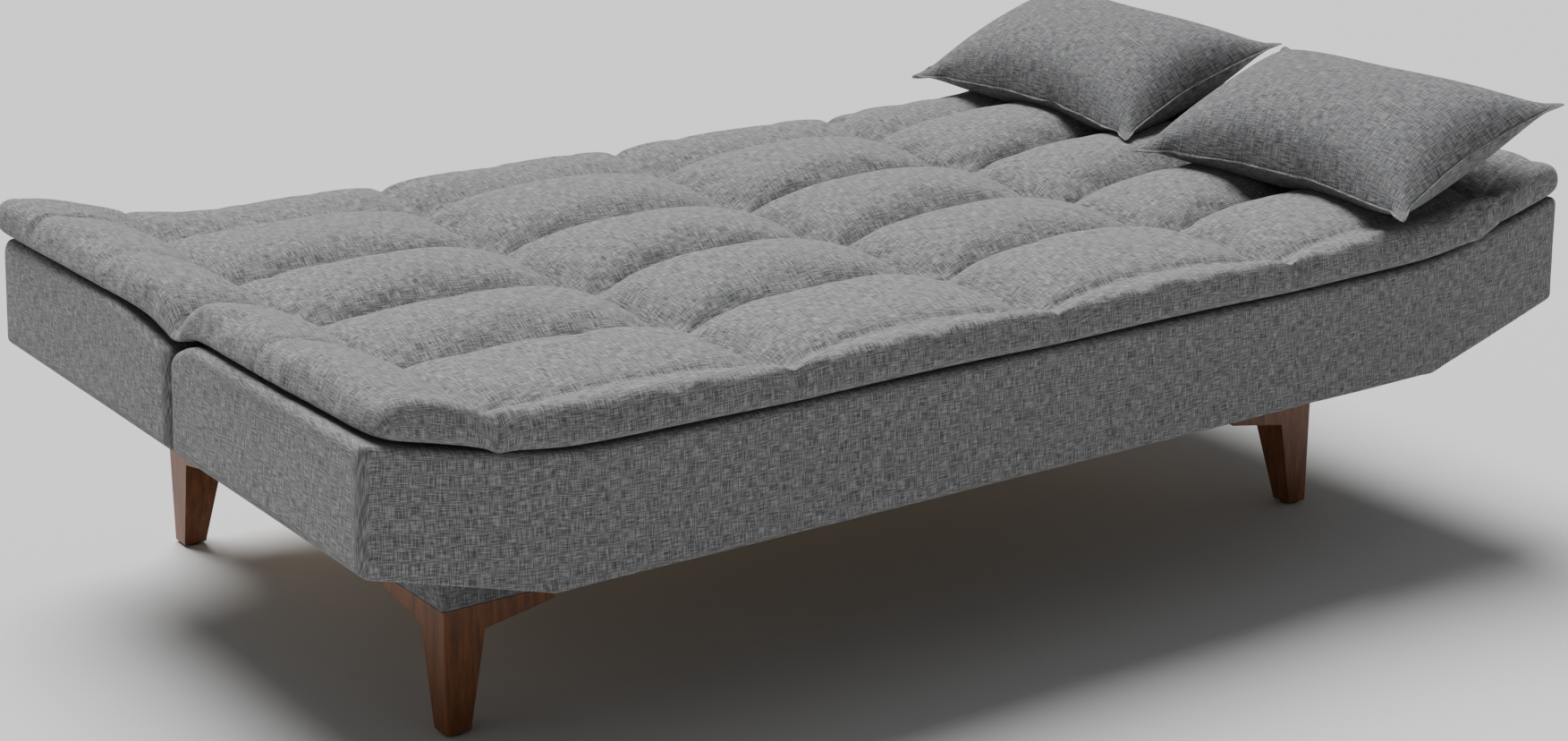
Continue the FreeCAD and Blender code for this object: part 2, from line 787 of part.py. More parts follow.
seat_notch_end = "seat_back_edge + cutter_reach"
back_notch_start = "back_front_edge - cutter_reach"
make_section("seat", "seat_front", "seat_back_edge", "seat_back_edge", "notch_front", seat_notch_end)
make_section("back", "back_front_edge", "back_rear", "back_front_edge", back_notch_start, "notch_rear")

# seat timber: the frame is open at the fold arms, so the rear rail is short
keep(
    block(
        "seat_front_timber",
        "-flat_half",
        "flat_half",
        "seat_front + rail_inset",
        "seat_front + rail_inset + rail_width",
        "rail_low",
        "rail_high",
    ),
    "seat_front_rail",
)
keep(
    block(
        "seat_mid_timber",
        "-plate_in",
        "plate_in",
        "seat_middle_rail",
        "seat_middle_rail + rail_width",
        "rail_low",
        "rail_high",
    ),
    "seat_middle_rail",
)
keep(
    block(
        "seat_rear_timber",
        "-seat_rear_rail_half",
        "seat_rear_rail_half",
        "seat_back_edge - rail_inset - rail_width",
        "seat_back_edge - rail_inset",
        "rail_low",
        "rail_high",
    ),
    "seat_rear_rail",
)
seat_end = block(
    "seat_end_timber",
    "plate_out",
    "flat_half",
    "seat_front + rail_inset + rail_width",
    "seat_back_edge - rail_inset",
    "rail_low",
    "rail_high",
)
keep(pair("seat_end_pair", seat_end), "seat_end_rails")

# back timber: the side rails carry the folding arms
keep(
    block(
        "back_front_timber",
        "-back_front_rail_half",
        "back_front_rail_half",
        "back_front_edge + rail_inset",
        "back_front_edge + rail_inset + rail_width",
        "rail_low",
        "rail_high",
    ),
    "back_front_rail",
)
keep(
    block(
        "back_rear_timber",
        "-flat_half",
        "flat_half",
        "back_rear - rail_inset - rail_width",
        "back_rear - rail_inset",
        "rail_low",
        "rail_high",
    ),
    "back_rear_rail",
)
back_side = block(
    "back_side_timber",
    "back_front_rail_half + 1",
    "arm_in",
    "back_front_edge + rail_inset",
    "back_rear - rail_inset - rail_width",
    "rail_low",
    "rail_high",
)
keep(pair("back_side_pair", back_side), "back_side_rails")
back_end = block(
    "back_end_timber",
    "notch_out + 1",
    "flat_half",
    "back_front_edge + rail_inset",
    "back_rear - rail_inset - rail_width",
    "rail_low",
    "rail_high",
)
keep(pair("back_end_pair", back_end), "back_end_rails")


def slat_row(name, count, low_y, high_y):
    """Evenly spaced sprung slats lying across the rails, front to rear."""
    slats = []
    for index in range(count):
        centre = f"({index} - {(count - 1) / 2}) * slat_field / {count - 1}"
        slats.append(
            block(
                f"{name}_{index}",
                f"{centre} - slat_width / 2",
                f"{centre} + slat_width / 2",
                low_y,
                high_y,
                "rail_high",
                "slat_high",
            )
        )
    return group(name, *slats)


SLATS = 8
seat_slats = slat_row("seat_slat_row", SLATS, "seat_front + slat_inset", "seat_back_edge - slat_inset")
keep(seat_slats, "seat_slats")
back_slats = slat_row("back_slat_row", SLATS, "back_front_edge + slat_inset", "back_rear - slat_inset")
keep(back_slats, "back_slats")


# ---------------------------------------------------------------- quilted toppers
def make_topper(side, outer_y, inner_y):
    """Soft quilted pad with raised ends and a bevelled face beside the fold."""
    profile = [
        ("-flat_half", "slab_top + topper_gap"),
        ("flat_half", "slab_top + topper_gap"),
        ("half_length - end_lean", "slab_top + end_rise - end_drop + topper_gap"),
        ("topper_half", "slab_top + end_rise - 4"),
        ("topper_half", "topper_edge_top - 12"),
        ("topper_half - 22", "topper_edge_top + 6"),
        ("flat_half + 20", "topper_top + 4"),
        ("flat_half - 40", "topper_top"),
        ("-(flat_half - 40)", "topper_top"),
        ("-(flat_half + 20)", "topper_top + 4"),
        ("-(topper_half - 22)", "topper_edge_top + 6"),
        ("-topper_half", "topper_edge_top - 12"),
        ("-topper_half", "slab_top + end_rise - 4"),
        ("-(half_length - end_lean)", "slab_top + end_rise - end_drop + topper_gap"),
    ]
    low_y, high_y = (outer_y, inner_y) if side == "seat" else (inner_y, outer_y)
    pad = along_y(side + "_pad", profile, low_y, high_y)
    bevel = fold_bevel(side + "_bevel", side, inner_y, "slab_top")
    # the outer long edge is rolled over
    inward = "+" if side == "seat" else "-"
    outward = "-" if side == "seat" else "+"
    roll = [
        (f"{outer_y} {outward} 1", "slab_top + 26"),
        (f"{outer_y} {inward} 16", "slab_top + 51"),
        (f"{outer_y} {inward} 16", "slab_top + bevel_height"),
        (f"{outer_y} {outward} 1", "slab_top + bevel_height"),
    ]
    trim = along_x(side + "_trim", roll, "-flat_half", "flat_half")
    keep(cut(side + "_topper_cut", pad, bevel, trim), side + "_topper")


make_topper("seat", "-topper_reach", "fold_y - fold_gap")
make_topper("back", "topper_reach", "fold_y + fold_gap")


# ---------------------------------------------------------------- loose pillows
def pillow_shape(shrink):
    """Puffed rectangular pillow, thickest in the middle, lying in its own XY plane."""
    half_long = dim("pillow_length") / 2 - shrink
    half_wide = dim("pillow_width") / 2 - shrink
    half_thick = dim("pillow_thick") / 2 - shrink
    half_layers = ((0.36, 0.93), (0.72, 0.74), (1.0, 0.42))
    layers = [(-level, spread) for level, spread in reversed(half_layers)]
    layers.append((0.0, 1.0))
    layers.extend(half_layers)
    wires = []
    for level, spread in layers:
        wide = half_wide - (1 - spread) * half_wide * 0.9
        long = half_long - (1 - spread) * half_long * 0.6
        corner = min(wide, long) * 0.35
        high = level * half_thick
        points = []
        for turn, (sign_x, sign_y) in enumerate(((1, 1), (-1, 1), (-1, -1), (1, -1))):
            centre = FreeCAD.Vector(sign_x * (wide - corner), sign_y * (long - corner), high)
            for step in range(4):
                angle = math.pi / 2 * (turn + step / 3)
                spoke = FreeCAD.Vector(math.cos(angle), math.sin(angle), 0)
                points.append(centre + spoke * corner)
        points.append(points[0])
        wires.append(Part.makePolygon(points))
    return Part.makeLoft(wires, True, True)


def make_pillow(name, centre):
    """Cover shell and its filling, tilted on the raised end."""
    turn = FreeCAD.Rotation(FreeCAD.Vector(0, 1, 0), -dim("pillow_tilt"))
    place = FreeCAD.Placement(FreeCAD.Vector(*centre), turn)
    fill = doc.addObject("Part::Feature", name + "_fill_solid")
    fill.Shape = pillow_shape(dim("pillow_cloth"))
    fill.Placement = place
    cover = doc.addObject("Part::Feature", name + "_cover_solid")
    cover.Shape = pillow_shape(0.0).cut(pillow_shape(dim("pillow_cloth") * 0.9))
    cover.Placement = place
    keep(cover, name + "_cover")
    keep(fill, name + "_fill")


make_pillow("pillow_near", (700.0, -278.0, 547.0))
make_pillow("pillow_far", (752.0, 268.0, 553.0))

# ---------------------------------------------------------------- checks and output
doc.recompute()
for obj in doc.Objects:
    if "Invalid" in obj.State or "Error" in obj.State:
        raise RuntimeError(f"{obj.Name} failed: {obj.State}")

labels = [node.Label for node in nodes]
if len(set(labels)) != len(labels) or len(labels) > 60:
    raise RuntimeError("node names repeat or are too many")

os.makedirs("parts", exist_ok=True)
for node in nodes:
    shape = node.Shape
    if shape.isNull() or not shape.isValid() or not shape.Solids:
        raise RuntimeError(f"{node.Label} has no valid solid")
    for solid in shape.Solids:
        if solid.Volume <= 0:
            raise RuntimeError(f"{node.Label} has an empty solid")
    shape.exportStep(os.path.join("parts", node.Label + ".step"))
print(len(nodes), "sub-parts written")
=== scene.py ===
import json
import math

import bmesh
import bpy
import numpy as np
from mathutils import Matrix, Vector


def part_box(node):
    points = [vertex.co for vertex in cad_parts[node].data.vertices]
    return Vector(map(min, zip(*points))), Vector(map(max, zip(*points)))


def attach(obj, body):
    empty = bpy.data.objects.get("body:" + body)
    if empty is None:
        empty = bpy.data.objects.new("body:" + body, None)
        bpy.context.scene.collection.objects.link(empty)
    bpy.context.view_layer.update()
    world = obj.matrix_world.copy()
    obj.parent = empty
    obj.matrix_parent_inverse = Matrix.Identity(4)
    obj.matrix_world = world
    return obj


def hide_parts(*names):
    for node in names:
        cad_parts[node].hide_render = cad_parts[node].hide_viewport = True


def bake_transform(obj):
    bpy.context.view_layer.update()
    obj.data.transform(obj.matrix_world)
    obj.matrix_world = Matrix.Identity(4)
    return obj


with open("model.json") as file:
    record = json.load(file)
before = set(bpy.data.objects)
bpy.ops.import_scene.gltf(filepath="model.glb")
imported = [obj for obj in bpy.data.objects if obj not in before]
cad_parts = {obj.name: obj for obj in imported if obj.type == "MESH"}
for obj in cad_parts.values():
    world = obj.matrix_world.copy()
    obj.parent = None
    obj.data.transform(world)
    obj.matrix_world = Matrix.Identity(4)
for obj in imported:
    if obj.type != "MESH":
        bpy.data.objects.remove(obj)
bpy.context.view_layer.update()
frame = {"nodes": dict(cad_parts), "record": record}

MM = 0.001

# ------------------------------------------------------------------ layout, millimetres
TUFT_PITCH = 379.0
TUFT_SHIFT = 20.0                          # the tufts sit a little right of the middle
TUFT_COLUMNS = [TUFT_SHIFT + TUFT_PITCH * k for k in (-2, -1, 0, 1, 2)]
TUFT_ROWS = [-455.0, -248.0, -36.0, 178.0, 384.0]
FOLD_ROW = 2                               # the row of tufts that lies along the fold
FOLD_LINE = -22.5                          # middle of the gap between the two sections
EDGE_X = 905.0
EDGE_FRONT = -507.0
EDGE_REAR = 507.0
ROLL = 45.0                                # width of the rolled edge
SLAB_TOP = 405.6
SLAB_BOTTOM = 253.4
BEND_X = 668.0                             # where the raised ends begin
TOP_SLOPE = 0.276
TOP_SOFTNESS = 50.0                        # how gradually a surface bends up
PANEL_SLOPE = 0.254
PANEL_SOFTNESS = 60.0
BOTTOM_SLOPE = 0.298
BOTTOM_SOFTNESS = 12.0
BOTTOM_BEND_X = BEND_X + 3.0
RAIL_DIP = 1.6                             # the underside drops a little at the end rails
RAIL_DIP_REACH = 12.0


def ramp(distance, softness):
    """0 well before the bend and a straight rise after it."""
    return 0.5 * (distance + np.sqrt(distance * distance + softness * softness))


def top_rise(x):
    """Rise of the slab below the topper."""
    return TOP_SLOPE * ramp(np.abs(x) - BEND_X, TOP_SOFTNESS)


def panel_rise(x):
    """Rise of the section covers' upper side."""
    return PANEL_SLOPE * ramp(np.abs(x) - BEND_X, PANEL_SOFTNESS)


def bottom_rise(x):
    """Rise of the section covers' underside."""
    dip = RAIL_DIP * np.exp(-(((np.abs(x) - BEND_X) / RAIL_DIP_REACH) ** 2))
    return BOTTOM_SLOPE * ramp(np.abs(x) - BOTTOM_BEND_X, BOTTOM_SOFTNESS) - dip


def smooth(value):
    """Eased step from 0 to 1."""
    clipped = np.clip(value, 0.0, 1.0)
    return clipped * clipped * (3 - 2 * clipped)


class Waves:
    """Seeded sum of plane waves, used as gentle unevenness of cloth."""

    def __init__(self, seed, shortest, longest, count=14):
        rng = np.random.default_rng(seed)
        length = rng.uniform(shortest, longest, count)
        angle = rng.uniform(0, 2 * math.pi, (count, 2))
        heading = np.stack([np.cos(angle[:, 0]), np.sin(angle[:, 0])], 1)
        self.k = (2 * math.pi / length)[:, None] * heading
        self.phase = angle[:, 1]
        self.weight = rng.uniform(0.5, 1.0, count) / math.sqrt(count)

    def __call__(self, u, v):
        total = np.zeros(np.broadcast(u, v).shape)
        for k, phase, weight in zip(self.k, self.phase, self.weight):
            total += weight * np.sin(k[0] * u + k[1] * v + phase)
        return total


# ------------------------------------------------------------------ mesh helpers
def make_object(name, points_mm, faces, uv_mm=None, material=None, smooth_shade=True, weld=False):
    """Mesh object from points and cloth coordinates in millimetres; weld joins doubled points."""
    mesh = bpy.data.meshes.new(name)
    mesh.from_pydata((np.asarray(points_mm) * MM).tolist(), [], faces)
    mesh.validate()
    if uv_mm is not None:
        layer = mesh.uv_layers.new(name="weave")
        loop_vertex = np.zeros(len(mesh.loops), np.int32)
        mesh.loops.foreach_get("vertex_index", loop_vertex)
        uv = (np.asarray(uv_mm) * MM)[loop_vertex]
        layer.data.foreach_set("uv", uv.astype(np.float32).ravel())
    if weld:
        work = bmesh.new()
        work.from_mesh(mesh)
        bmesh.ops.remove_doubles(work, verts=work.verts, dist=1e-5)
        work.to_mesh(mesh)
        work.free()
    if smooth_shade:
        mesh.polygons.foreach_set("use_smooth", [True] * len(mesh.polygons))
    if material is not None:
        mesh.materials.append(material)
    obj = bpy.data.objects.new(name, mesh)
    bpy.context.scene.collection.objects.link(obj)
    return obj


def grid_faces(columns, rows, first=0, flip=False):
    """Quads of a grid whose point (i, j) has index first + i * rows + j."""
    faces = []
    for i in range(columns - 1):
        for j in range(rows - 1):
            a = first + i * rows + j
            quad = (a, a + rows, a + rows + 1, a + 1)
            faces.append(tuple(reversed(quad)) if flip else quad)
    return faces


def strip_faces(loop_a, loop_b, closed=True):
    """Quads between two loops of point numbers."""
    count = len(loop_a)
    faces = []
    for k in range(count if closed else count - 1):
        n = (k + 1) % count
        faces.append((loop_a[k], loop_a[n], loop_b[n], loop_b[k]))
    return faces


def grid_rim(columns, rows):
    """Point numbers round the border of a grid, one list for each of its four sides."""
    first = [i * rows for i in range(columns)]
    second = [(columns - 1) * rows + j for j in range(1, rows)]
    third = [i * rows + rows - 1 for i in range(columns - 2, -1, -1)]
    fourth = list(range(rows - 2, 0, -1))
    return first, second, third, fourth


def flipped(faces):
    """The same faces, seen from their other side."""
    return [tuple(reversed(face)) for face in faces]


def arc_length(points):
    """Distance along a line of points, from 0 at the first one."""
    return np.concatenate([[0], np.cumsum(np.linalg.norm(np.diff(points, axis=0), axis=1))])


def points_of(obj):
    """Vertices of an object in millimetres."""
    co = np.zeros(len(obj.data.vertices) * 3, np.float64)
    obj.data.vertices.foreach_get("co", co)
    return co.reshape(-1, 3) / MM


def simulate(obj, pin_weights, pressure, grow, frames, cap, bending=0.4, stiffness=15.0):
    """Inflate a cloth mesh with Blender's cloth and return its new points, each moved by at most cap."""
    start = points_of(obj)
    group = obj.vertex_groups.new(name="pins")
    for weight in np.unique(pin_weights):
        if weight > 0:
            group.add(np.nonzero(pin_weights == weight)[0].tolist(), float(weight), "REPLACE")
    modifier = obj.modifiers.new("cloth", "CLOTH")
    settings = modifier.settings
    settings.quality = 6
    settings.mass = 0.25
    settings.air_damping = 2.0
    settings.tension_stiffness = stiffness
    settings.compression_stiffness = stiffness
    settings.shear_stiffness = stiffness * 0.4
    settings.bending_stiffness = bending
    settings.use_pressure = True
    settings.uniform_pressure_force = pressure
    settings.shrink_min = -grow
    settings.effector_weights.gravity = 0.0
    settings.vertex_group_mass = "pins"
    modifier.collision_settings.use_collision = False
    modifier.collision_settings.use_self_collision = False
    modifier.point_cache.frame_start = 1
    modifier.point_cache.frame_end = frames
    scene = bpy.context.scene
    for number in range(1, frames + 1):
        scene.frame_set(number)
    evaluated = obj.evaluated_get(bpy.context.evaluated_depsgraph_get())
    mesh = evaluated.to_mesh()
    co = np.zeros(len(mesh.vertices) * 3)
    mesh.vertices.foreach_get("co", co)
    evaluated.to_mesh_clear()
    obj.modifiers.remove(modifier)
    obj.vertex_groups.remove(group)
    scene.frame_set(1)
    move = co.reshape(-1, 3) / MM - start
    length = np.linalg.norm(move, axis=1)
    length[length < 1e-9] = 1e-9
    move *= (cap * np.tanh(length / cap) / length)[:, None]
    return start + move


def subdivide(obj):
    """Replace the mesh by its once-subdivided form."""
    modifier = obj.modifiers.new("round", "SUBSURF")
    modifier.levels = 1
    graph = bpy.context.evaluated_depsgraph_get()
    finer = bpy.data.meshes.new_from_object(obj.evaluated_get(graph), depsgraph=graph)
    coarse = obj.data
    obj.modifiers.remove(modifier)
    obj.data = finer
    bpy.data.meshes.remove(coarse)


# ------------------------------------------------------------------ materials
def new_material(name):
    """Empty node material, with its nodes and links."""
    material = bpy.data.materials.new(name)
    material.use_nodes = True
    return material, material.node_tree.nodes, material.node_tree.links


def colour_by(nodes, links, shader, value, stops):
    """Base colour read from a ramp of (position, colour) stops."""
    node = nodes.new("ShaderNodeValToRGB")
    elements = node.color_ramp.elements
    while len(elements) < len(stops):
        elements.new(0.5)
    for element, (position, colour) in zip(elements, stops):
        element.position = position
        element.color = (*colour, 1.0)
    links.new(value, node.inputs["Fac"])
    links.new(node.outputs["Color"], shader.inputs["Base Color"])


def relief_by(nodes, links, shader, height, strength, depth):
    """Surface relief from a height value; the depth is in metres."""
    bump = nodes.new("ShaderNodeBump")
    bump.inputs["Strength"].default_value = strength
    bump.inputs["Distance"].default_value = depth
    links.new(height, bump.inputs["Height"])
    links.new(bump.outputs["Normal"], shader.inputs["Normal"])


def noise_on(nodes, links, source, scale, stretch, detail=2.0, rough=0.5):
    """Noise with its own stretch along the two directions of the cloth."""
    mapping = nodes.new("ShaderNodeMapping")
    mapping.inputs["Scale"].default_value = stretch
    links.new(source, mapping.inputs["Vector"])
    noise = nodes.new("ShaderNodeTexNoise")
    noise.inputs["Scale"].default_value = scale
    noise.inputs["Detail"].default_value = detail
    noise.inputs["Roughness"].default_value = rough
    links.new(mapping.outputs["Vector"], noise.inputs["Vector"])
    return noise.outputs["Fac"]


def math_node(nodes, links, operation, a, b):
    """Output of a sum, product or the like of two numbers or sockets."""
    node = nodes.new("ShaderNodeMath")
    node.operation = operation
    for socket, value in zip(node.inputs, (a, b)):
        if isinstance(value, (int, float)):
            socket.default_value = value
        else:
            links.new(value, socket)
    return node.outputs[0]


def fabric(name, dark, middle, light, thread=840.0, slub=0.075):
    """Woven melange: light and dark slubs running both ways over a fine weave."""
    material, nodes, links = new_material(name)
    shader = nodes["Principled BSDF"]
    shader.inputs["Roughness"].default_value = 0.95
    shader.inputs["Specular IOR Level"].default_value = 0.15
    shader.inputs["Sheen Weight"].default_value = 0.12
    shader.inputs["Sheen Roughness"].default_value = 0.5
    uv = nodes.new("ShaderNodeUVMap")
    uv.uv_map = "weave"
    source = uv.outputs["UV"]
    warp = noise_on(nodes, links, source, thread, (slub, 1.0, 1.0), 2.0, 0.5)
    weft = noise_on(nodes, links, source, thread, (1.0, slub, 1.0), 2.0, 0.5)
    patch = noise_on(nodes, links, source, 60.0, (1.0, 1.0, 1.0), 3.0, 0.6)
    over = math_node(nodes, links, "MAXIMUM", warp, weft)
    under = math_node(nodes, links, "MINIMUM", warp, weft)
    raised = math_node(nodes, links, "MULTIPLY", over, 0.55)
    sunken = math_node(nodes, links, "MULTIPLY", under, 0.45)
    mix = math_node(nodes, links, "ADD", raised, sunken)
    patch = math_node(nodes, links, "SUBTRACT", patch, 0.5)
    drift = math_node(nodes, links, "MULTIPLY", patch, 0.05)
    mix = math_node(nodes, links, "ADD", mix, drift)
    colour_by(nodes, links, shader, mix, [(0.38, dark), (0.49, middle), (0.62, light)])
    waves = []
    for axis in ("X", "Y"):
        wave = nodes.new("ShaderNodeTexWave")
        wave.wave_type = "BANDS"
        wave.bands_direction = axis
        wave.inputs["Scale"].default_value = thread * 0.5
        wave.inputs["Distortion"].default_value = 1.0
        links.new(source, wave.inputs["Vector"])
        waves.append(wave.outputs["Fac"])
    weave = math_node(nodes, links, "MULTIPLY", waves[0], waves[1])
    fine = math_node(nodes, links, "MULTIPLY", weave, 0.3)
    coarse = math_node(nodes, links, "MULTIPLY", mix, 2.0)
    relief = math_node(nodes, links, "ADD", fine, coarse)
    relief_by(nodes, links, shader, relief, 0.5, 0.001)
    return material


def object_vector(nodes):
    """Place on the object, for grain that stays with it."""
    return nodes.new("ShaderNodeTexCoord").outputs["Object"]


def wood(name, dark, light, along=(14.0, 14.0, 1.4), rough=0.4, coat=0.0):
    """Straight-grained timber with pores and slow colour drift."""
    material, nodes, links = new_material(name)
    shader = nodes["Principled BSDF"]
    shader.inputs["Coat Weight"].default_value = coat
    shader.inputs["Coat Roughness"].default_value = 0.25
    source = object_vector(nodes)
    grain = noise_on(nodes, links, source, 9.0, along, 5.0, 0.62)
    pores = noise_on(nodes, links, source, 60.0, along, 2.0, 0.5)
    specks = math_node(nodes, links, "MULTIPLY", pores, 0.35)
    mix = math_node(nodes, links, "ADD", grain, specks)
    colour_by(nodes, links, shader, mix, [(0.45, dark), (0.95, light)])
    uneven = math_node(nodes, links, "MULTIPLY", pores, 0.18)
    roughness = math_node(nodes, links, "ADD", uneven, rough - 0.08)
    links.new(roughness, shader.inputs["Roughness"])
    relief_by(nodes, links, shader, pores, 0.235, 0.0006)
    return material


def plain(name, colour, rough, metallic=0.0, grain=180.0, depth=0.0003, variation=0.25):
    """Painted, bare or moulded surface with fine grain, slight wear and uneven gloss."""
    material, nodes, links = new_material(name)
    shader = nodes["Principled BSDF"]
    shader.inputs["Metallic"].default_value = metallic
    source = object_vector(nodes)
    fine = noise_on(nodes, links, source, grain, (1.0, 1.0, 1.0), 4.0, 0.6)
    broad = noise_on(nodes, links, source, 12.0, (1.0, 1.0, 1.0), 3.0, 0.5)
    low = tuple(c * (1 - variation) for c in colour)
    high = tuple(min(1.0, c * (1 + variation)) for c in colour)
    colour_by(nodes, links, shader, broad, [(0.35, low), (0.7, high)])
    uneven = math_node(nodes, links, "MULTIPLY", fine, 0.2)
    roughness = math_node(nodes, links, "ADD", uneven, rough - 0.1)
    links.new(roughness, shader.inputs["Roughness"])
    relief_by(nodes, links, shader, fine, 0.3, depth)
    return material


GREY = fabric("grey_melange", (0.058, 0.059, 0.062), (0.144, 0.145, 0.148), (0.315, 0.316, 0.320))
PILLOW_GREY = fabric("pillow_melange", (0.050, 0.051, 0.055), (0.120, 0.121, 0.125), (0.262, 0.263, 0.267))
WALNUT = wood("walnut_stain", (0.078, 0.022, 0.006), (0.255, 0.088, 0.024), rough=0.45, coat=0.08)
PINE = wood("pine", (0.46, 0.30, 0.16), (0.72, 0.54, 0.34), (3.0, 16.0, 16.0), 0.6)
BOARD = wood("particle_board", (0.38, 0.28, 0.18), (0.60, 0.48, 0.33), (10.0, 10.0, 10.0), 0.7)
SLAT = wood("beech_slats", (0.55, 0.38, 0.22), (0.76, 0.60, 0.42), (16.0, 2.0, 16.0), 0.5)
STEEL = plain("zinc_steel", (0.60, 0.60, 0.62), 0.36, 1.0, 260.0, 0.0002, 0.12)
BLACK_STEEL = plain("black_steel", (0.030, 0.030, 0.032), 0.45, 0.0, 220.0, 0.0003, 0.3)
NYLON = plain("black_nylon", (0.035, 0.035, 0.036), 0.5, 0.0, 300.0, 0.0002, 0.2)
RUBBER = plain("black_rubber", (0.025, 0.025, 0.025), 0.8, 0.0, 300.0, 0.0004, 0.2)
LINING = plain("black_lining", (0.020, 0.020, 0.022), 0.95, 0.0, 900.0, 0.0006, 0.25)
FOAM = plain("foam", (0.72, 0.68, 0.52), 0.95, 0.0, 500.0, 0.001, 0.1)

SLOT_MATERIAL = {
    "topper_fabric": GREY,
    "cover_fabric": GREY,
    "lining": LINING,
    "foam": FOAM,
    "leg_wood": WALNUT,
    "board": BOARD,
    "pine": PINE,
    "slat_wood": SLAT,
    "steel": STEEL,
    "black_steel": BLACK_STEEL,
    "nylon": NYLON,
    "rubber": RUBBER,
}
for part in frame["record"]["subparts"]:
    node = frame["nodes"][part["node"]]
    node.data.materials.clear()
    node.data.materials.append(SLOT_MATERIAL[part["material_slot"]])


# ------------------------------------------------------------------ quilted topper
def spaced(lines, counts):
    """Grid lines through every given line, closer together next to the sewn ones."""
    values = [lines[0]]
    for low, high, count in zip(lines[:-1], lines[1:], counts):
        u = np.linspace(-1, 1, count + 1)[1:]
        place = 0.55 * np.sin(u * math.pi / 2) + 0.45 * u
        values.extend((low + high) / 2 + (high - low) / 2 * place)
    return np.array(values)


COLUMN_CELLS = (13, 34, 34, 34, 34, 11)    # mesh cells before, between and after the tuft columns
ROW_CELLS = (1, 22, 22, 22, 22, 9)
GRID_X = spaced([-(EDGE_X - ROLL)] + TUFT_COLUMNS + [EDGE_X - ROLL], COLUMN_CELLS)
GRID_Y = spaced([EDGE_FRONT + ROLL] + TUFT_ROWS + [EDGE_REAR - ROLL], ROW_CELLS)

# heights above the slab
PITS = np.array([20.0, 7.0, 2.0, 7.0, 19.0])           # the tufts of each row
ROW_RISES = np.array([24.0, 18.0, 12.0, 18.0, 16.0])   # rise of each row between two tufts
COLUMN_RISES = np.array([18.0, 3.0, 3.0, 3.0, 18.0])   # rise of each column between two tufts
CREST = 62.0                                           # middle of a pocket between four tufts
CREST_SPREAD = 3.0
CRESTS = CREST + np.random.default_rng(11).uniform(-CREST_SPREAD, CREST_SPREAD, (4, 4))
PLATEAU = 50.0                                         # border outside the tufts
DRAPE_HEIGHT = 0.9
DRAPE = Waves(3, 70, 240)

SWELL = 30.0                               # how far from the tufts the border fills out
FRONT_SWELL = 20.0
END_PULL = 6.0                             # how far the tufts draw the border down at the ends
SIDE_PULL = 11.0                           # and at the front and rear
CREASE_DEPTH = 34.0                        # crease of the end borders beside the fold

PLEATS = 9                                 # small folds round one tuft
PLEAT_HEIGHT = 0.8
FOLD_PLEAT_HEIGHT = 1.6
PLEAT_RADIUS = 34.0
PLEAT_REACH = 22.0

RIPPLE_HEIGHT = 1.5                        # ripples of the end borders beside the fold
RIPPLE_PITCH = 17.0
RIPPLE_REACH = 26.0
RIPPLE_START = 6.0                         # first crest, behind the fold row
RIPPLE_MIDDLE = 14.0                       # highest part, behind the first crest


def locate(value, lines):
    """Cell number (0 before the first line) and place in the cell from -1 to 1."""
    index = np.searchsorted(lines, value)
    inside = (index > 0) & (index < len(lines))
    low = np.asarray(lines)[np.clip(index - 1, 0, len(lines) - 2)]
    high = np.asarray(lines)[np.clip(index, 1, len(lines) - 1)]
    place = np.where(inside, 2 * (value - low) / (high - low) - 1, 0.0)
    return index, place, inside


def nearest(value, lines):
    """Distance to the nearest of the lines."""
    return np.min(np.abs(np.asarray(value)[..., None] - np.asarray(lines)), axis=-1)


def lift(place):
    """How far a channel rises between two tufts."""
    return np.cos(np.clip(place, -1, 1) * math.pi / 2) ** 0.7


def pinch(distance):
    """How strongly the border is pulled down near a tuft's line."""
    return 0.55 * np.exp(-((distance / 10.0) ** 2)) + 0.45 * np.exp(-((distance / 42.0) ** 2))


def fold_crease(x, y):
    """1 in the crease that runs from the outer fold tufts to the gap between the sections."""
    out = np.clip((np.abs(x) - 740.0) / 165.0, 0, 1)
    centre = TUFT_ROWS[FOLD_ROW] + (FOLD_LINE - TUFT_ROWS[FOLD_ROW]) * out
    return np.exp(-(np.sqrt((y - centre) ** 2 + 36.0) - 6.0) / 19.0)


def tuft_pleats(x, y):
    """Small folds that run out from every tuft except the front row's."""
    pleats = np.zeros_like(x)
    for a, tuft_x in enumerate(TUFT_COLUMNS):
        for b, tuft_y in enumerate(TUFT_ROWS[1:], 1):
            radius = np.hypot(x - tuft_x, y - tuft_y)
            angle = np.arctan2(y - tuft_y, x - tuft_x)
            height = FOLD_PLEAT_HEIGHT if b == FOLD_ROW else PLEAT_HEIGHT
            near = np.exp(-(((radius - PLEAT_RADIUS) / PLEAT_REACH) ** 2))
            pleats = pleats + height * near * np.cos(PLEATS * angle + 1.7 * a + 2.3 * b)
    return pleats


def fold_ripples(y):
    """Ripples of an end border, strongest just behind the fold."""
    across = y - TUFT_ROWS[FOLD_ROW] - RIPPLE_START
    near = np.exp(-np.abs(across - RIPPLE_MIDDLE) / RIPPLE_REACH)
    return RIPPLE_HEIGHT * np.cos(across * 2 * math.pi / RIPPLE_PITCH) * near


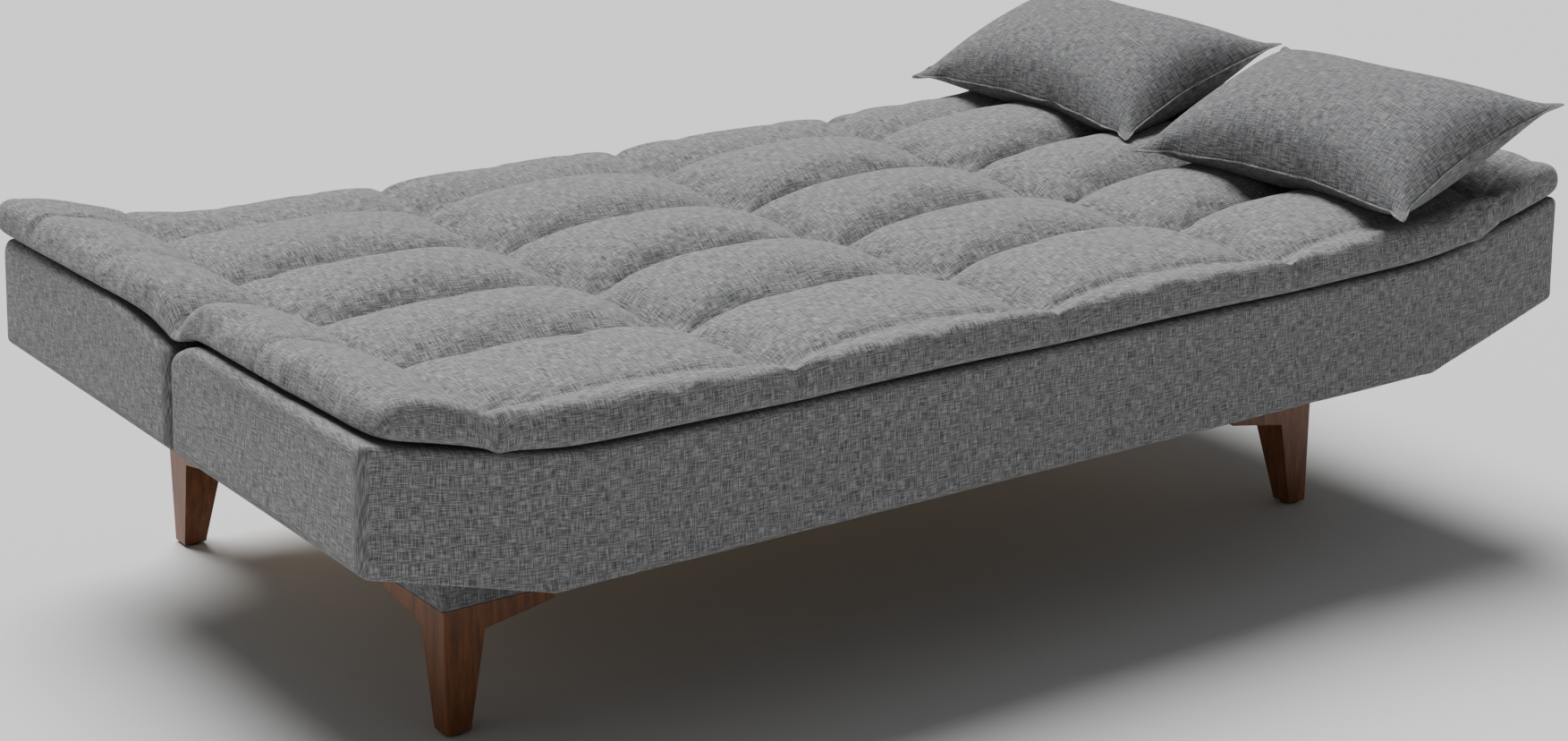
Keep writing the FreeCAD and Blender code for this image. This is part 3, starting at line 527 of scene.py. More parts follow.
def quilt_height(x, y):
    """Height of the topper above its underside, before its edges roll over."""
    column, s, in_x = locate(x, TUFT_COLUMNS)
    row, t, in_y = locate(y, TUFT_ROWS)
    near = np.clip(row - 1, 0, 4)
    far = np.clip(row, 0, 4)
    share = np.where(in_y, (t + 1) / 2, 0.0)

    def along_row(number):
        """Height of the channel that runs along a row of tufts."""
        tied = 0.75 * np.abs(np.sin(math.pi * s)) ** 0.8
        between = np.where(number == FOLD_ROW, tied, lift(s))
        return PITS[number] + ROW_RISES[number] * np.where(in_x, between, 0.0)

    floor = (1 - share) * along_row(near) + share * along_row(far)
    beside_column = np.clip(np.where(s > 0, column, column - 1), 0, 4)
    column_rise = COLUMN_RISES[beside_column] * lift(t) * (1 - np.where(in_x, lift(s), 0.0))
    floor = floor + np.where(in_y, column_rise, 0.0)
    crest = CRESTS[np.clip(column - 1, 0, 3), np.clip(row - 1, 0, 3)]
    dome = (1 - np.abs(s) ** 2.1) ** 0.62 * (1 - np.abs(t) ** 2.3) ** 0.52
    inside = floor + (crest - floor) * dome

    out_x = np.maximum(np.maximum(TUFT_COLUMNS[0] - x, x - TUFT_COLUMNS[-1]), 0)
    out_y = np.maximum(np.maximum(TUFT_ROWS[0] - y, y - TUFT_ROWS[-1]), 0)
    reach = np.hypot(out_x, out_y)
    width = np.where(y < TUFT_ROWS[0], FRONT_SWELL, SWELL)
    fill = 1 - np.exp(-((reach / width) ** 1.5))
    beside = (out_x > 0) & (out_y <= 0)
    beyond = (out_y > 0) & (out_x <= 0)
    pull = np.where(beside, END_PULL * pinch(nearest(y, TUFT_ROWS)), 0.0)
    pull = pull + np.where(beyond, SIDE_PULL * pinch(nearest(x, TUFT_COLUMNS)), 0.0)
    plateau = PLATEAU - pull - np.where(out_x > 0, CREASE_DEPTH * fold_crease(x, y), 0.0)
    border = floor + (plateau - floor) * fill
    height = np.where(in_x & in_y, inside, border)
    height = height + np.where(out_x > 0, fold_ripples(y) * smooth(reach / 30.0), 0.0)
    return height + tuft_pleats(x, y) + DRAPE_HEIGHT * DRAPE(x, y)


# (distance outwards, height above the slab) down round the rolled edge
END_PROFILE = ((9, 49.5), (18, 48.5), (27, 46.0), (35, 41.5), (41, 36.0), (44.5, 28.0),
               (46, 18.0), (45.5, 9.5), (42.0, 4.0), (34, 1.5), (22, 1.0))
SIDE_PROFILE = ((9, 45.0), (18, 47.0), (27, 48.5), (34, 47.5), (40, 43.5), (43.5, 36.0),
                (45.5, 25.0), (46, 13.0), (44.0, 6.0), (38, 3.0), (26, 1.0))

# (place from front to rear, how far the topper's end stops short of its widest outline)
LEFT_INSET = ((EDGE_FRONT, 33.0), (-420.0, 27.0), (-250.0, 22.0), (0.0, 19.0), (250.0, 11.0),
              (EDGE_REAR, 1.0))
RIGHT_INSET = ((EDGE_FRONT, 7.0), (0.0, 10.0), (EDGE_REAR, 3.0))
INSET_FROM = 765.0
INSET_OVER = 130.0

FOLD_DIP = 13.0                            # how far the end borders sink beside the fold
FOLD_DIP_BEFORE = 34.0
FOLD_DIP_BEHIND = 60.0
FOLD_DIP_FROM = 745.0
FOLD_DIP_OVER = 120.0

SIDE_SAG = 0.16                            # share of its height that the roll loses at a tuft column
HEM_RISE = 4.5                             # the hem rises between two tuft columns
HEM_DROP = 3.0
CORNER_DROOP = 9.0                         # the front hem hangs lower at the outer tuft columns
HEM_PULL = 7.0                             # the hem is drawn in at a tuft column
HEM_FROM = 30.0                            # distance at which the roll becomes the hem
HEM_OVER = 12.0
SLOPE_REACH = 893.0                        # the roll rises with the slope as far as this


def end_inset(x, y):
    """How far the topper's ends stop short of its widest outline."""
    left = np.interp(y, *zip(*LEFT_INSET))
    right = np.interp(y, *zip(*RIGHT_INSET))
    return np.where(x < 0, left, right) * smooth((np.abs(x) - INSET_FROM) / INSET_OVER)


def draw_in(points):
    """Shift the end borders inwards along the slope they lie on, and sink them at the fold."""
    inset = end_inset(points[:, 0], points[:, 1])
    moved = points.copy()
    moved[:, 0] -= np.sign(points[:, 0]) * inset
    moved[:, 2] -= TOP_SLOPE * inset
    spread = np.where(points[:, 1] > FOLD_LINE, FOLD_DIP_BEHIND, FOLD_DIP_BEFORE)
    at_fold = np.exp(-(((points[:, 1] - FOLD_LINE) / spread) ** 2))
    moved[:, 2] -= FOLD_DIP * at_fold * smooth((np.abs(points[:, 0]) - FOLD_DIP_FROM) / FOLD_DIP_OVER)
    return moved


def topper_sheet():
    """Points, cloth coordinates, faces and edge loops of the upper sheet with its rolled edge."""
    gx, gy = np.meshgrid(GRID_X, GRID_Y, indexing="ij")
    height = quilt_height(gx, gy)
    nx, ny = gx.shape
    points = np.stack([gx, gy, SLAB_TOP + top_rise(gx) + height], -1).reshape(-1, 3)
    uv = np.stack([gx, gy], -1).reshape(-1, 2)
    sides = grid_rim(nx, ny)
    loop = sum(sides, [])
    headings = ((0.0, -1.0), (1.0, 0.0), (0.0, 1.0), (-1.0, 0.0))
    raw = np.vstack([np.tile(heading, (len(side), 1)) for heading, side in zip(headings, sides)])
    outward = sum(np.roll(raw, shift, axis=0) for shift in range(-3, 4))
    outward /= np.linalg.norm(outward, axis=1)[:, None]
    outward /= (np.max(np.abs(outward), axis=1) ** 0.8)[:, None]
    edge = points[loop]
    edge_height = height.reshape(-1)[loop]
    along = arc_length(edge[:, :2])
    facing_end = np.abs(outward[:, 0])
    span = np.abs(edge[:, 0]) < TUFT_COLUMNS[-1] + 30
    tie = np.where(span & (facing_end < 0.5), pinch(nearest(edge[:, 0], TUFT_COLUMNS)), 0.0)
    end_share = np.clip(edge_height / PLATEAU, 0.35, 1.0)
    level_share = np.where(facing_end > 0.5, end_share, 1.0 - SIDE_SAG * tie)
    _, place, between = locate(edge[:, 0], TUFT_COLUMNS)
    hem_lift = np.where(between & (facing_end < 0.5), HEM_RISE * lift(place) - HEM_DROP, 0.0)
    droop = np.where(edge[:, 1] < 0, CORNER_DROOP, 0.0)
    hem_lift = hem_lift - droop * pinch(np.abs(edge[:, 0]) + TUFT_COLUMNS[0])
    rings = []
    previous = edge[:, :2]
    arc = np.zeros(len(loop))
    last_height = edge_height
    sway = Waves(5, 80, 300)
    ripple = Waves(6, 28, 75)
    for (distance, end_level), (_, side_level) in zip(END_PROFILE, SIDE_PROFILE):
        level = side_level + (end_level - side_level) * facing_end
        lower = smooth((distance - HEM_FROM) / HEM_OVER)
        loose = 1.3 * sway(along, distance) + 0.7 * ripple(along, 0.5 * distance)
        push = distance + lower * (loose - HEM_PULL * tie)
        flat = edge[:, :2] + outward * push[:, None]
        blend = smooth(distance / 16.0)
        tall = (1 - blend) * edge_height + blend * level * level_share
        rise = top_rise(np.minimum(np.abs(flat[:, 0]), SLOPE_REACH))
        z = SLAB_TOP + rise + tall + lower * (0.5 * loose + hem_lift)
        step = np.sqrt(((flat - previous) ** 2).sum(1) + (tall - last_height) ** 2)
        arc = arc + step
        rings.append((np.column_stack([flat, z]), edge[:, :2] + outward * arc[:, None]))
        previous = flat
        last_height = tall
    faces = grid_faces(nx, ny)
    all_points = [points]
    all_uv = [uv]
    loops = [loop]
    total = len(points)
    for ring_points, ring_uv in rings:
        numbers = list(range(total, total + len(loop)))
        all_points.append(ring_points)
        all_uv.append(ring_uv)
        faces += flipped(strip_faces(loops[-1], numbers))
        loops.append(numbers)
        total += len(loop)
    return draw_in(np.vstack(all_points)), np.vstack(all_uv), faces, loops, (nx, ny)


UNDERSIDE_GAP = 0.4                        # between the slab and the topper's underside
UNDERSIDE_REACH = 850.0                    # the underside ends here, inside the rolled edge


def close_underside(points, uv, faces, loops, shape, stride=4):
    """Add an underside of larger cells along the slab, so that the topper is one closed piece."""
    nx, ny = shape
    columns = sorted(set(list(range(0, nx, stride)) + [nx - 1]))
    rows = sorted(set(list(range(0, ny, stride)) + [ny - 1]))
    wanted = {}

    def corner(i, j):
        """Number of the new point below a point of the grid."""
        if (i, j) not in wanted:
            wanted[(i, j)] = len(points) + len(wanted)
        return wanted[(i, j)]

    for k in loops[0]:
        corner(k // ny, k % ny)
    for i0, i1 in zip(columns[:-1], columns[1:]):
        for j0, j1 in zip(rows[:-1], rows[1:]):
            low_i = range(i0, i1) if j0 == 0 else (i0,)
            high_j = range(j0, j1) if i1 == nx - 1 else (j0,)
            high_i = range(i1, i0, -1) if j1 == ny - 1 else (i1,)
            low_j = range(j1, j0, -1) if i0 == 0 else (j1,)
            ring = [corner(i, j0) for i in low_i] + [corner(i1, j) for j in high_j]
            ring += [corner(i, j1) for i in high_i] + [corner(i0, j) for j in low_j]
            faces.append(tuple(reversed(ring)))
    under = points[[i * ny + j for i, j in wanted]].copy()
    under[:, 2] = SLAB_TOP + top_rise(under[:, 0]) + UNDERSIDE_GAP
    under[:, 0] = np.clip(under[:, 0], -UNDERSIDE_REACH, UNDERSIDE_REACH)
    under_loop = [wanted[(k // ny, k % ny)] for k in loops[0]]
    faces += flipped(strip_faces(loops[-1], under_loop))
    return np.vstack([points, under]), np.vstack([uv, under[:, :2]]), faces


TUFT_RADIUS = 8.0


def topper_pins(points, loops):
    """Weight 1 where the topper is tufted, sewn or held at its edge."""
    pins = np.zeros(len(points))
    for x in TUFT_COLUMNS:
        for y in TUFT_ROWS:
            pins[np.hypot(points[:, 0] - x, points[:, 1] - y) < TUFT_RADIUS] = 1.0
    for axis, lines, others in ((0, TUFT_COLUMNS, TUFT_ROWS), (1, TUFT_ROWS, TUFT_COLUMNS)):
        inner = (points[:, 1 - axis] > others[0] - 2) & (points[:, 1 - axis] < others[-1] + 2)
        pins[inner & (nearest(points[:, axis], lines[1:-1]) < 1.0)] = 1.0
    for loop in loops[-4:]:
        pins[loop] = 1.0
    return pins


sheet_points, sheet_uv, sheet_faces, sheet_loops, sheet_shape = topper_sheet()
cloth = make_object("topper_cloth", sheet_points, sheet_faces)
sheet_points = simulate(cloth, topper_pins(sheet_points, sheet_loops), pressure=2.5, grow=0.02,
                        frames=14, cap=6.0)
bpy.data.objects.remove(cloth)
top_points, top_uv, top_faces = close_underside(sheet_points, sheet_uv, sheet_faces, sheet_loops,
                                                sheet_shape)
topper = make_object("quilted_topper", top_points, top_faces, top_uv, GREY)
subdivide(topper)
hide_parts("seat_topper", "back_topper")
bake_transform(topper)


# ------------------------------------------------------------------ section covers
FOLD_SAG = 20.0                            # how far the raised ends sink beside the fold
SAG_FROM = 640.0
SAG_OVER = 120.0
COVER_GAP = 1.9                            # between a section cover and the topper
COVER_END_X = 900.0
COVER_END_RADIUS = 12.0
END_LEAN = 7.0                             # how far the end faces lean inwards at their top
LEAN_FROM = 780.0
LEAN_OVER = 120.0
BULGE_LIMIT = 0.8                          # the end faces bulge outwards by no more than this
STATIONS_X = np.arange(-880, 881, 10.0)
ARC_STEPS = 6                              # steps round each corner of a section
SIDE_STEPS = 24                            # and along each side
CORNERS = ((1, -1, -90), (1, 1, 0), (-1, 1, 90), (-1, -1, 180))   # sign of Y and Z, start of the arc
RIM_SHARES = (1.0, 0.985, 0.97, 0.95, 0.925, 0.89, 0.84, 0.77, 0.67, 0.54, 0.4, 0.25, 0.1)


def rounded_loop(width, height, radii, pull):
    """Rounded rectangle, counter-clockwise in Y and Z, from its lower rear corner."""
    centres = []
    for (sign_y, sign_z, start), radius in zip(CORNERS, radii):
        small = max(radius - pull * 0.3, 1.5)
        centres.append((sign_y * (width / 2 - small), sign_z * (height / 2 - small), start, small))
    loop = []
    for number, (cy, cz, start, radius) in enumerate(centres):
        for k in range(ARC_STEPS + 1):
            angle = math.radians(start + 90 * k / ARC_STEPS)
            loop.append((cy + radius * math.cos(angle), cz + radius * math.sin(angle)))
        next_y, next_z, begin, small = centres[(number + 1) % 4]
        angle = math.radians(begin)
        here = loop[-1]
        there = (next_y + small * math.cos(angle), next_z + small * math.sin(angle))
        for k in range(1, SIDE_STEPS):
            part = k / SIDE_STEPS
            loop.append((here[0] + (there[0] - here[0]) * part, here[1] + (there[1] - here[1]) * part))
    loop.append(loop[0])
    return np.array(loop)


def section_cover(name, body, low_y, high_y, radii, fold_side, sag_reach, nodes, seed):
    """Upholstered slab with raised ends: rounded sections lofted from end to end."""
    turn = np.radians(np.array([0, 15, 30, 45, 60, 75, 90]))
    pull_in = COVER_END_RADIUS * (1 - np.sin(turn))
    back_off = COVER_END_RADIUS * (1 - np.cos(turn))
    stations = np.concatenate([-(COVER_END_X - back_off), STATIONS_X, (COVER_END_X - back_off)[::-1]])
    shrink = np.concatenate([pull_in, np.zeros(len(STATIONS_X)), pull_in[::-1]])
    waves = Waves(seed, 60, 320)
    fine = Waves(seed + 1, 25, 70)
    gather = Waves(seed + 2, 11, 24)
    fold_y = high_y if fold_side > 0 else low_y

    def gathers(y, z):
        """Small pleats next to the fold, stronger towards it."""
        near_fold = np.exp(-np.abs(y - fold_y) / 14.0)
        return near_fold * (0.9 * gather(z, y * 0.25) - 0.4)

    points = []
    uv = []
    length = arc_length(np.column_stack([stations, shrink]))
    for x, pull, reach in zip(stations, shrink, length):
        low_z = SLAB_BOTTOM + bottom_rise(x)
        high_z = SLAB_TOP - COVER_GAP + panel_rise(x)
        loop = rounded_loop(high_y - low_y - 2 * pull, high_z - low_z - 2 * pull, radii, pull)
        y = (low_y + high_y) / 2 + loop[:, 0]
        z = (low_z + high_z) / 2 + loop[:, 1]
        beside_fold = smooth(1 - np.abs(y - fold_y) / sag_reach) ** 1.5
        sag = FOLD_SAG * beside_fold * smooth((abs(x) - SAG_FROM) / SAG_OVER)
        z = z - sag * np.clip((z - low_z) / (high_z - low_z), 0, 1)
        lean = END_LEAN * (z - low_z) / (high_z - low_z)
        xs = x - math.copysign(1.0, x) * lean * smooth((abs(x) - LEAN_FROM) / LEAN_OVER)
        arc = arc_length(loop)
        side = smooth((np.abs(loop[:, 0]) - (high_y - low_y) / 2 + pull + 14) / 10.0)
        soft = 0.8 * waves(xs, z) + 0.3 * fine(xs, z)
        at_fold = np.sign(loop[:, 0]) == fold_side
        soft = soft + np.where(at_fold, 1.2 * fine(xs, z * 0.3), 0.0)
        y = y + np.sign(loop[:, 0]) * side * np.clip(soft - 0.3, -1.3, 0.6)
        points.append(np.column_stack([xs, y, z]))
        uv.append(np.column_stack([np.full(len(arc), reach), arc]))
    rows = len(stations)
    count = len(points[0])
    all_points = list(points)
    all_uv = list(uv)
    faces = []
    for i in range(rows - 1):
        for j in range(count - 1):
            faces.append((i * count + j, i * count + j + 1, (i + 1) * count + j + 1, (i + 1) * count + j))
    total = rows * count
    for rim, sign in ((points[0], -1), (points[-1], 1)):
        centre = rim[:-1].mean(0)
        previous = None
        for share in RIM_SHARES:
            ring = centre + (rim[:-1] - centre) * share
            bulge = 1.1 * waves(ring[:, 1], ring[:, 2]) + 0.5 * fine(ring[:, 1], ring[:, 2])
            bulge = bulge * smooth((1 - share) / 0.2)
            bulge = bulge + gathers(ring[:, 1], ring[:, 2]) * smooth((1 - share) / 0.04)
            ring[:, 0] += sign * np.minimum(bulge, BULGE_LIMIT)
            numbers = list(range(total, total + len(ring)))
            total += len(ring)
            all_points.append(ring)
            all_uv.append(ring[:, 1:] + np.array([sign * 1500.0, 0.0]))
            if previous is not None:
                strip = strip_faces(previous, numbers)
                faces += strip if sign > 0 else flipped(strip)
            previous = numbers
        all_points.append(all_points[-1].mean(0)[None, :])
        all_uv.append(all_uv[-1].mean(0)[None, :])
        for k in range(len(previous)):
            tri = (previous[k], previous[(k + 1) % len(previous)], total)
            faces.append(tri if sign > 0 else tuple(reversed(tri)))
        total += 1
    obj = make_object(name, np.vstack(all_points), faces, np.vstack(all_uv), GREY, weld=True)
    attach(obj, body)
    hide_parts(*nodes)
    return obj


section_cover("seat_upholstery", "seat", -501.0, -27.0, (4.5, 20.0, 9.0, 4.5), 1, 75.0,
              ("seat_cover", "seat_foam", "seat_end_foams"), 21)
section_cover("back_upholstery", "back", -18.0, 500.0, (4.5, 20.0, 20.0, 4.5), -1, 190.0,
              ("back_cover", "back_foam", "back_end_foams"), 31)


# ------------------------------------------------------------------ fabric band of the base box
BAND_RADIUS = 5.0
BAND_THICKNESS = 1.45
BAND_EDGE = 1.2                            # height of the rounded lower edge
BAND_TURNED = 19.0                         # cloth turned over the panels' top edge
BAND_LEVELS = 12
BAND_STEP = 14.0


def band_outline(x0, y0, x1, y1):
    """Closed outline with round corners: the place and outward direction of each point."""
    corners = []
    left, right = x0 + BAND_RADIUS, x1 - BAND_RADIUS
    front, rear = y0 + BAND_RADIUS, y1 - BAND_RADIUS
    for cx, cy, start in ((right, front, -90), (right, rear, 0), (left, rear, 90), (left, front, 180)):
        for k in range(6):
            angle = math.radians(start + 18 * k)
            corners.append((cx + BAND_RADIUS * math.cos(angle), cy + BAND_RADIUS * math.sin(angle),
                            math.cos(angle), math.sin(angle)))
    outline = []
    for k, here in enumerate(corners):
        there = corners[(k + 1) % len(corners)]
        pieces = max(1, int(math.hypot(there[0] - here[0], there[1] - here[1]) / BAND_STEP))
        for n in range(pieces):
            outline.append([a + (b - a) * n / pieces for a, b in zip(here, there)])
    outline.append(outline[0])
    return np.array(outline)


def base_band():
    """Band of cloth stretched round the base box and turned over its upper edge."""
    low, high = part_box("base_cover")
    x0, y0, z0 = (v / MM for v in low)
    x1, y1, z1 = (v / MM for v in high)
    outline = band_outline(x0, y0, x1, y1)
    count = len(outline)
    arc = arc_length(outline[:, :2])
    waves = Waves(41, 50, 240)
    points = []
    uv = []

    def add_ring(xy, z, across):
        """One more ring of points, with its place across the cloth."""
        points.append(np.column_stack([xy, np.full(count, z)]))
        uv.append(np.column_stack([arc, np.full(count, across)]))

    levels = [(z0, -1.1), (z0 + 0.3, -0.3), (z0 + BAND_EDGE, 0.0)]
    straight = z1 - z0 - 2 * BAND_EDGE
    levels += [(z0 + BAND_EDGE + straight * k / BAND_LEVELS, 0.0) for k in range(1, BAND_LEVELS + 1)]
    levels += [(z1, -0.9)]
    for z, out in levels:
        middle = math.sin(math.pi * (z - z0) / (z1 - z0))
        puff = out + 0.35 * middle * waves(outline[:, 0] + z, outline[:, 1])
        add_ring(outline[:, :2] + outline[:, 2:] * puff[:, None], z, z)
    for z, back in ((z1 + 0.9, 2.0), (z1 + 1.0, BAND_TURNED), (z1 + 0.3, BAND_TURNED), (z1 + 0.2, 2.0)):
        add_ring(np.clip(outline[:, :2], (x0 + back, y0 + back), (x1 - back, y1 - back)), z, z1 + back)
    for z in (z1 - 0.4, z0 + 0.4):
        add_ring(outline[:, :2] - outline[:, 2:] * BAND_THICKNESS, z, z)
    faces = []
    for i in range(len(points)):
        j = (i + 1) % len(points)
        ring_a = list(range(i * count, (i + 1) * count))
        ring_b = list(range(j * count, (j + 1) * count))
        faces += strip_faces(ring_a, ring_b, closed=False)
    obj = make_object("base_band", np.vstack(points), faces, np.vstack(uv), GREY, weld=True)
    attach(obj, "base")
    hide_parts("base_cover")
    return obj


base_band()


# ------------------------------------------------------------------ cloth below the two sections
LINING_GAP = 0.15                          # between a section cover and the cloth below it
LINING_THICKNESS = 0.5


def underside_cloth(name, body, node):
    """Thin dark cloth stretched below a section, slightly slack between its tacked edges."""
    low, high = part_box(node)
    xs = np.linspace(low[0] / MM, high[0] / MM, 90)
    ys = np.linspace(low[1] / MM, high[1] / MM, 26)
    gx, gy = np.meshgrid(xs, ys, indexing="ij")
    across = (gy - ys[0]) / (ys[-1] - ys[0])
    slack = np.sin(math.pi * across) * (0.3 + 0.15 * Waves(11, 70, 260)(gx, gy))
    height = SLAB_BOTTOM - LINING_GAP + bottom_rise(gx)
    upper = np.stack([gx, gy, height], -1)
    lower = np.stack([gx, gy, height - LINING_THICKNESS - slack], -1)
    points = np.vstack([upper.reshape(-1, 3), lower.reshape(-1, 3)])
    nx, ny = gx.shape
    total = nx * ny
    faces = grid_faces(nx, ny) + grid_faces(nx, ny, total, flip=True)
    loop = sum(grid_rim(nx, ny), [])
    faces += flipped(strip_faces(loop, [n + total for n in loop]))
    uv = np.column_stack([gx.ravel(), gy.ravel()])
    obj = make_object(name, points, faces, np.tile(uv, (2, 1)), LINING)
    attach(obj, body)
    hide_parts(node)
    return obj


underside_cloth("seat_lining", "seat", "seat_underside_cloth")
underside_cloth("back_lining", "back", "back_underside_cloth")


# ------------------------------------------------------------------ loose pillows
PILLOW_LONG = 502.0
PILLOW_WIDE = 330.0
PILLOW_THICK = 156.0
FLANGE = 2.4                               # width of the thin stitched edge
PILLOW_CELLS = (44, 66)                    # points across and along
LONG_BOW = 0.085                           # how far the long sides curve in, as a share of half the width
SHORT_BOW = 0.06                           # the same for the short sides
CREASE_HEIGHT = 0.3
DENT_STEPS = 90                            # smoothing steps after the blowing up
EDGE_WAVE = 2.2
REST_GAP = 3.0                             # between the topper and a pillow's lowest points
REST_SOFTNESS = 16.0                       # how gently it is lifted there
REST_END = 890.0                           # a pillow overhangs freely beyond this
# (distance outwards, height) round the stitched edge
FLANGE_SECTION = ((-4.0, 1.6), (0.0, 0.9), (0.8, 0.5), (FLANGE - 0.8, 1.0), (FLANGE, 0.0),
                  (FLANGE - 0.8, -1.0), (0.8, -0.5), (0.0, -0.9), (-4.0, -1.6))


def relaxed(grid, steps):
    """Grid of points with its small dents evened out; its border stays."""
    for _ in range(steps):
        around = grid[:-2, 1:-1] + grid[2:, 1:-1] + grid[1:-1, :-2] + grid[1:-1, 2:]
        grid[1:-1, 1:-1] = 0.5 * grid[1:-1, 1:-1] + 0.125 * around
    return grid


def pillow_halves(name, seed):
    """Cloth coordinates and the upper and lower points of two sheets sewn together and blown up."""
    half_w = PILLOW_WIDE / 2 - FLANGE
    half_l = PILLOW_LONG / 2 - FLANGE
    nx, ny = PILLOW_CELLS
    steps = np.linspace(-1, 1, nx), np.linspace(-1, 1, ny)
    u, v = (0.6 * np.sin(e * math.pi / 2) + 0.4 * e for e in steps)
    gu, gv = np.meshgrid(u, v, indexing="ij")
    dome = (np.clip(1 - gu ** 2, 0, 1) * np.clip(1 - gv ** 2, 0, 1)) ** 0.42
    flat_x = gu * half_w * (1 - LONG_BOW * (1 - gv ** 2))
    flat_y = gv * half_l * (1 - SHORT_BOW * (1 - gu ** 2))
    top = np.stack([flat_x, flat_y, dome * PILLOW_THICK * 0.42], -1)
    index = np.arange(nx * ny).reshape(nx, ny)
    inner = np.zeros((nx, ny), bool)
    inner[1:-1, 1:-1] = True
    lower_index = index.copy()
    lower_index[inner] = nx * ny + np.arange(inner.sum())
    points = np.vstack([top.reshape(-1, 3), top[inner] * np.array([1.0, 1.0, -1.0])])
    below = lower_index.ravel()
    faces = grid_faces(nx, ny)
    faces += [tuple(int(below[n]) for n in (a, d, c, b)) for a, b, c, d in grid_faces(nx, ny)]
    cloth = make_object(name + "_cloth", points, faces)
    points = simulate(cloth, np.zeros(len(points)), pressure=9.0, grow=0.0, frames=20, cap=34.0,
                      bending=2.5, stiffness=18.0)
    bpy.data.objects.remove(cloth)
    low, high = points.min(0), points.max(0)
    points = (points - (low + high) / 2) * np.array([2 * half_w, 2 * half_l, PILLOW_THICK]) / (high - low)
    upper = points[index.ravel()]
    lower = points[lower_index.ravel()]
    for side in (upper, lower):
        side[:] = relaxed(side.reshape(nx, ny, 3), DENT_STEPS).reshape(-1, 3)
    flat = np.column_stack([flat_x.ravel(), flat_y.ravel()])
    slack = Waves(seed + 3, 110, 260)(flat[:, 0], flat[:, 1]) * dome.ravel() * CREASE_HEIGHT
    upper[:, 2] += slack
    lower[:, 2] -= slack
    return flat, upper, lower


def sewn_edge(seam, seam_uv, seed):
    """Points and cloth coordinates of the rings that make up the stitched edge round a seam."""
    ahead = np.roll(seam, -1, axis=0) - np.roll(seam, 1, axis=0)
    ahead /= np.linalg.norm(ahead, axis=1)[:, None]
    out = np.column_stack([ahead[:, 1], -ahead[:, 0]])
    out = sum(np.roll(out, k, axis=0) for k in (-1, 0, 1))
    out /= np.linalg.norm(out, axis=1)[:, None]
    flutter = EDGE_WAVE * Waves(seed, 35, 120)(arc_length(seam), 0.0)
    points = []
    uv = []
    for outward, height in FLANGE_SECTION:
        ring = seam.copy()
        ring[:, :2] += out * outward
        ring[:, 2] += height + flutter * smooth(outward / FLANGE)
        points.append(ring)
        uv.append(seam_uv + out * outward)
    return points, uv


def place_pillow(local, centre, tilt, turn, lean):
    """Tilt, turn and lean a pillow, move it to its centre and rest it on the topper."""
    angle = math.radians(tilt)
    yaw = math.radians(turn)
    x = local[:, 0] * math.cos(angle) - local[:, 2] * math.sin(angle)
    z = local[:, 0] * math.sin(angle) + local[:, 2] * math.cos(angle)
    z = z + local[:, 1] * math.tan(math.radians(lean))
    placed = np.column_stack([
        centre[0] + x * math.cos(yaw) - local[:, 1] * math.sin(yaw),
        centre[1] + x * math.sin(yaw) + local[:, 1] * math.cos(yaw),
        centre[2] + z,
    ])
    quilt = quilt_height(placed[:, 0], placed[:, 1])
    rest = SLAB_TOP + top_rise(placed[:, 0]) + quilt + REST_GAP
    rest = np.where(np.abs(placed[:, 0]) < REST_END, rest, -1e3)
    depth = placed[:, 2] - rest
    placed[:, 2] = rest + 0.5 * (depth + np.sqrt(depth ** 2 + REST_SOFTNESS))
    return placed


def make_pillow(name, body, centre, tilt, turn, lean, nodes, seed):
    """Loose pillow on the topper; nodes are the CAD pieces that it stands for."""
    nx, ny = PILLOW_CELLS
    flat, upper, lower = pillow_halves(name, seed)
    loop = sum(grid_rim(nx, ny), [])
    edge_points, edge_uv = sewn_edge(upper[loop], flat[loop], seed)
    rings = [[2 * nx * ny + k * len(loop) + m for m in range(len(loop))] for k in range(len(edge_points))]
    faces = grid_faces(nx, ny) + grid_faces(nx, ny, nx * ny, flip=True)
    for ring, following in zip(rings, rings[1:] + rings[:1]):
        faces += flipped(strip_faces(ring, following))
    placed = place_pillow(np.vstack([upper, lower] + edge_points), centre, tilt, turn, lean)
    uv = [flat, flat + np.array([1000.0, 0.0])] + [ring + np.array([2000.0, 0.0]) for ring in edge_uv]
    obj = make_object(name, placed, faces, np.vstack(uv), PILLOW_GREY, weld=True)
    subdivide(obj)
    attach(obj, body)
    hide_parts(*nodes)
    return obj


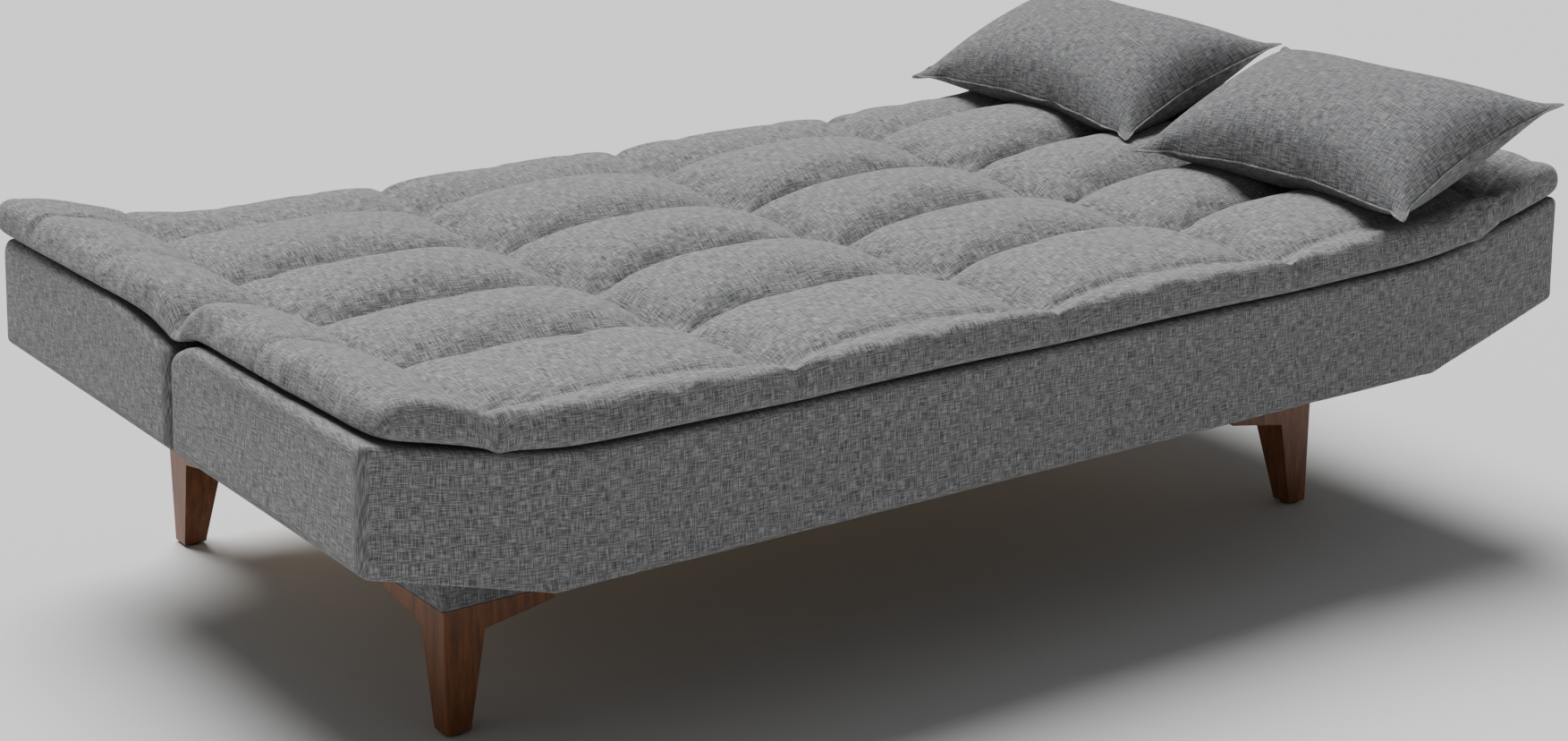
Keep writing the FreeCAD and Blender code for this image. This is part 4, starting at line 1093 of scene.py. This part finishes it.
make_pillow("near_pillow", "pillow_near", (698.0, -281.0, 541.0), 20.0, 1.9, 0.0,
            ("pillow_near_cover", "pillow_near_fill"), 61)
make_pillow("far_pillow", "pillow_far", (752.0, 292.0, 534.0), 19.0, 0.8, 1.4,
            ("pillow_far_cover", "pillow_far_fill"), 71)


# ------------------------------------------------------------------ floor, light and camera
FLOOR_HALF = 40000.0
FLOOR_Z = -0.5


def aim(data, name, direction):
    """Lamp object that shines along a direction."""
    lamp = bpy.data.objects.new(name, data)
    lamp.rotation_mode = "QUATERNION"
    lamp.rotation_quaternion = Vector(direction).to_track_quat("-Z", "Y")
    bpy.context.scene.collection.objects.link(lamp)
    return lamp


def studio():
    """Pale floor, even surroundings, a large soft light from above and behind, and a faint warm fill."""
    floor_material, nodes, _ = new_material("studio_floor")
    shader = nodes["Principled BSDF"]
    shader.inputs["Base Color"].default_value = (0.56, 0.56, 0.56, 1)
    shader.inputs["Roughness"].default_value = 0.9
    shader.inputs["Specular IOR Level"].default_value = 0.1
    square = ((-1, -1), (1, -1), (1, 1), (-1, 1))
    corners = [(sx * FLOOR_HALF, sy * FLOOR_HALF, FLOOR_Z) for sx, sy in square]
    make_object("studio_floor", corners, [(0, 1, 2, 3)], None, floor_material, False)
    world = bpy.data.worlds.new("studio")
    world.use_nodes = True
    background = world.node_tree.nodes["Background"]
    background.inputs["Color"].default_value = (1, 1, 1, 1)
    background.inputs["Strength"].default_value = 0.25
    bpy.context.scene.world = world
    key = bpy.data.lights.new("soft_key", "SUN")
    key.energy = 6.5
    key.angle = math.radians(42)
    aim(key, "soft_key", (-0.04, -0.50, -1.0))
    fill = bpy.data.lights.new("left_fill", "AREA")
    fill.size = 2.5
    fill.energy = 5.0
    fill.color = (1.0, 0.93, 0.82)
    aim(fill, "left_fill", (4.2, -0.6, -0.9)).location = (-4.2, 0.7, 1.3)


studio()

camera_data = bpy.data.cameras.new("camera")
camera_data.lens = 64.11
camera_data.sensor_width = 36.0
camera = bpy.data.objects.new("camera", camera_data)
camera.location = (-2.0504, -2.8874, 1.3744)
camera.rotation_euler = (math.radians(90 - 17.62), 0.0, math.radians(-35.02))
bpy.context.scene.collection.objects.link(camera)
bpy.context.scene.camera = camera
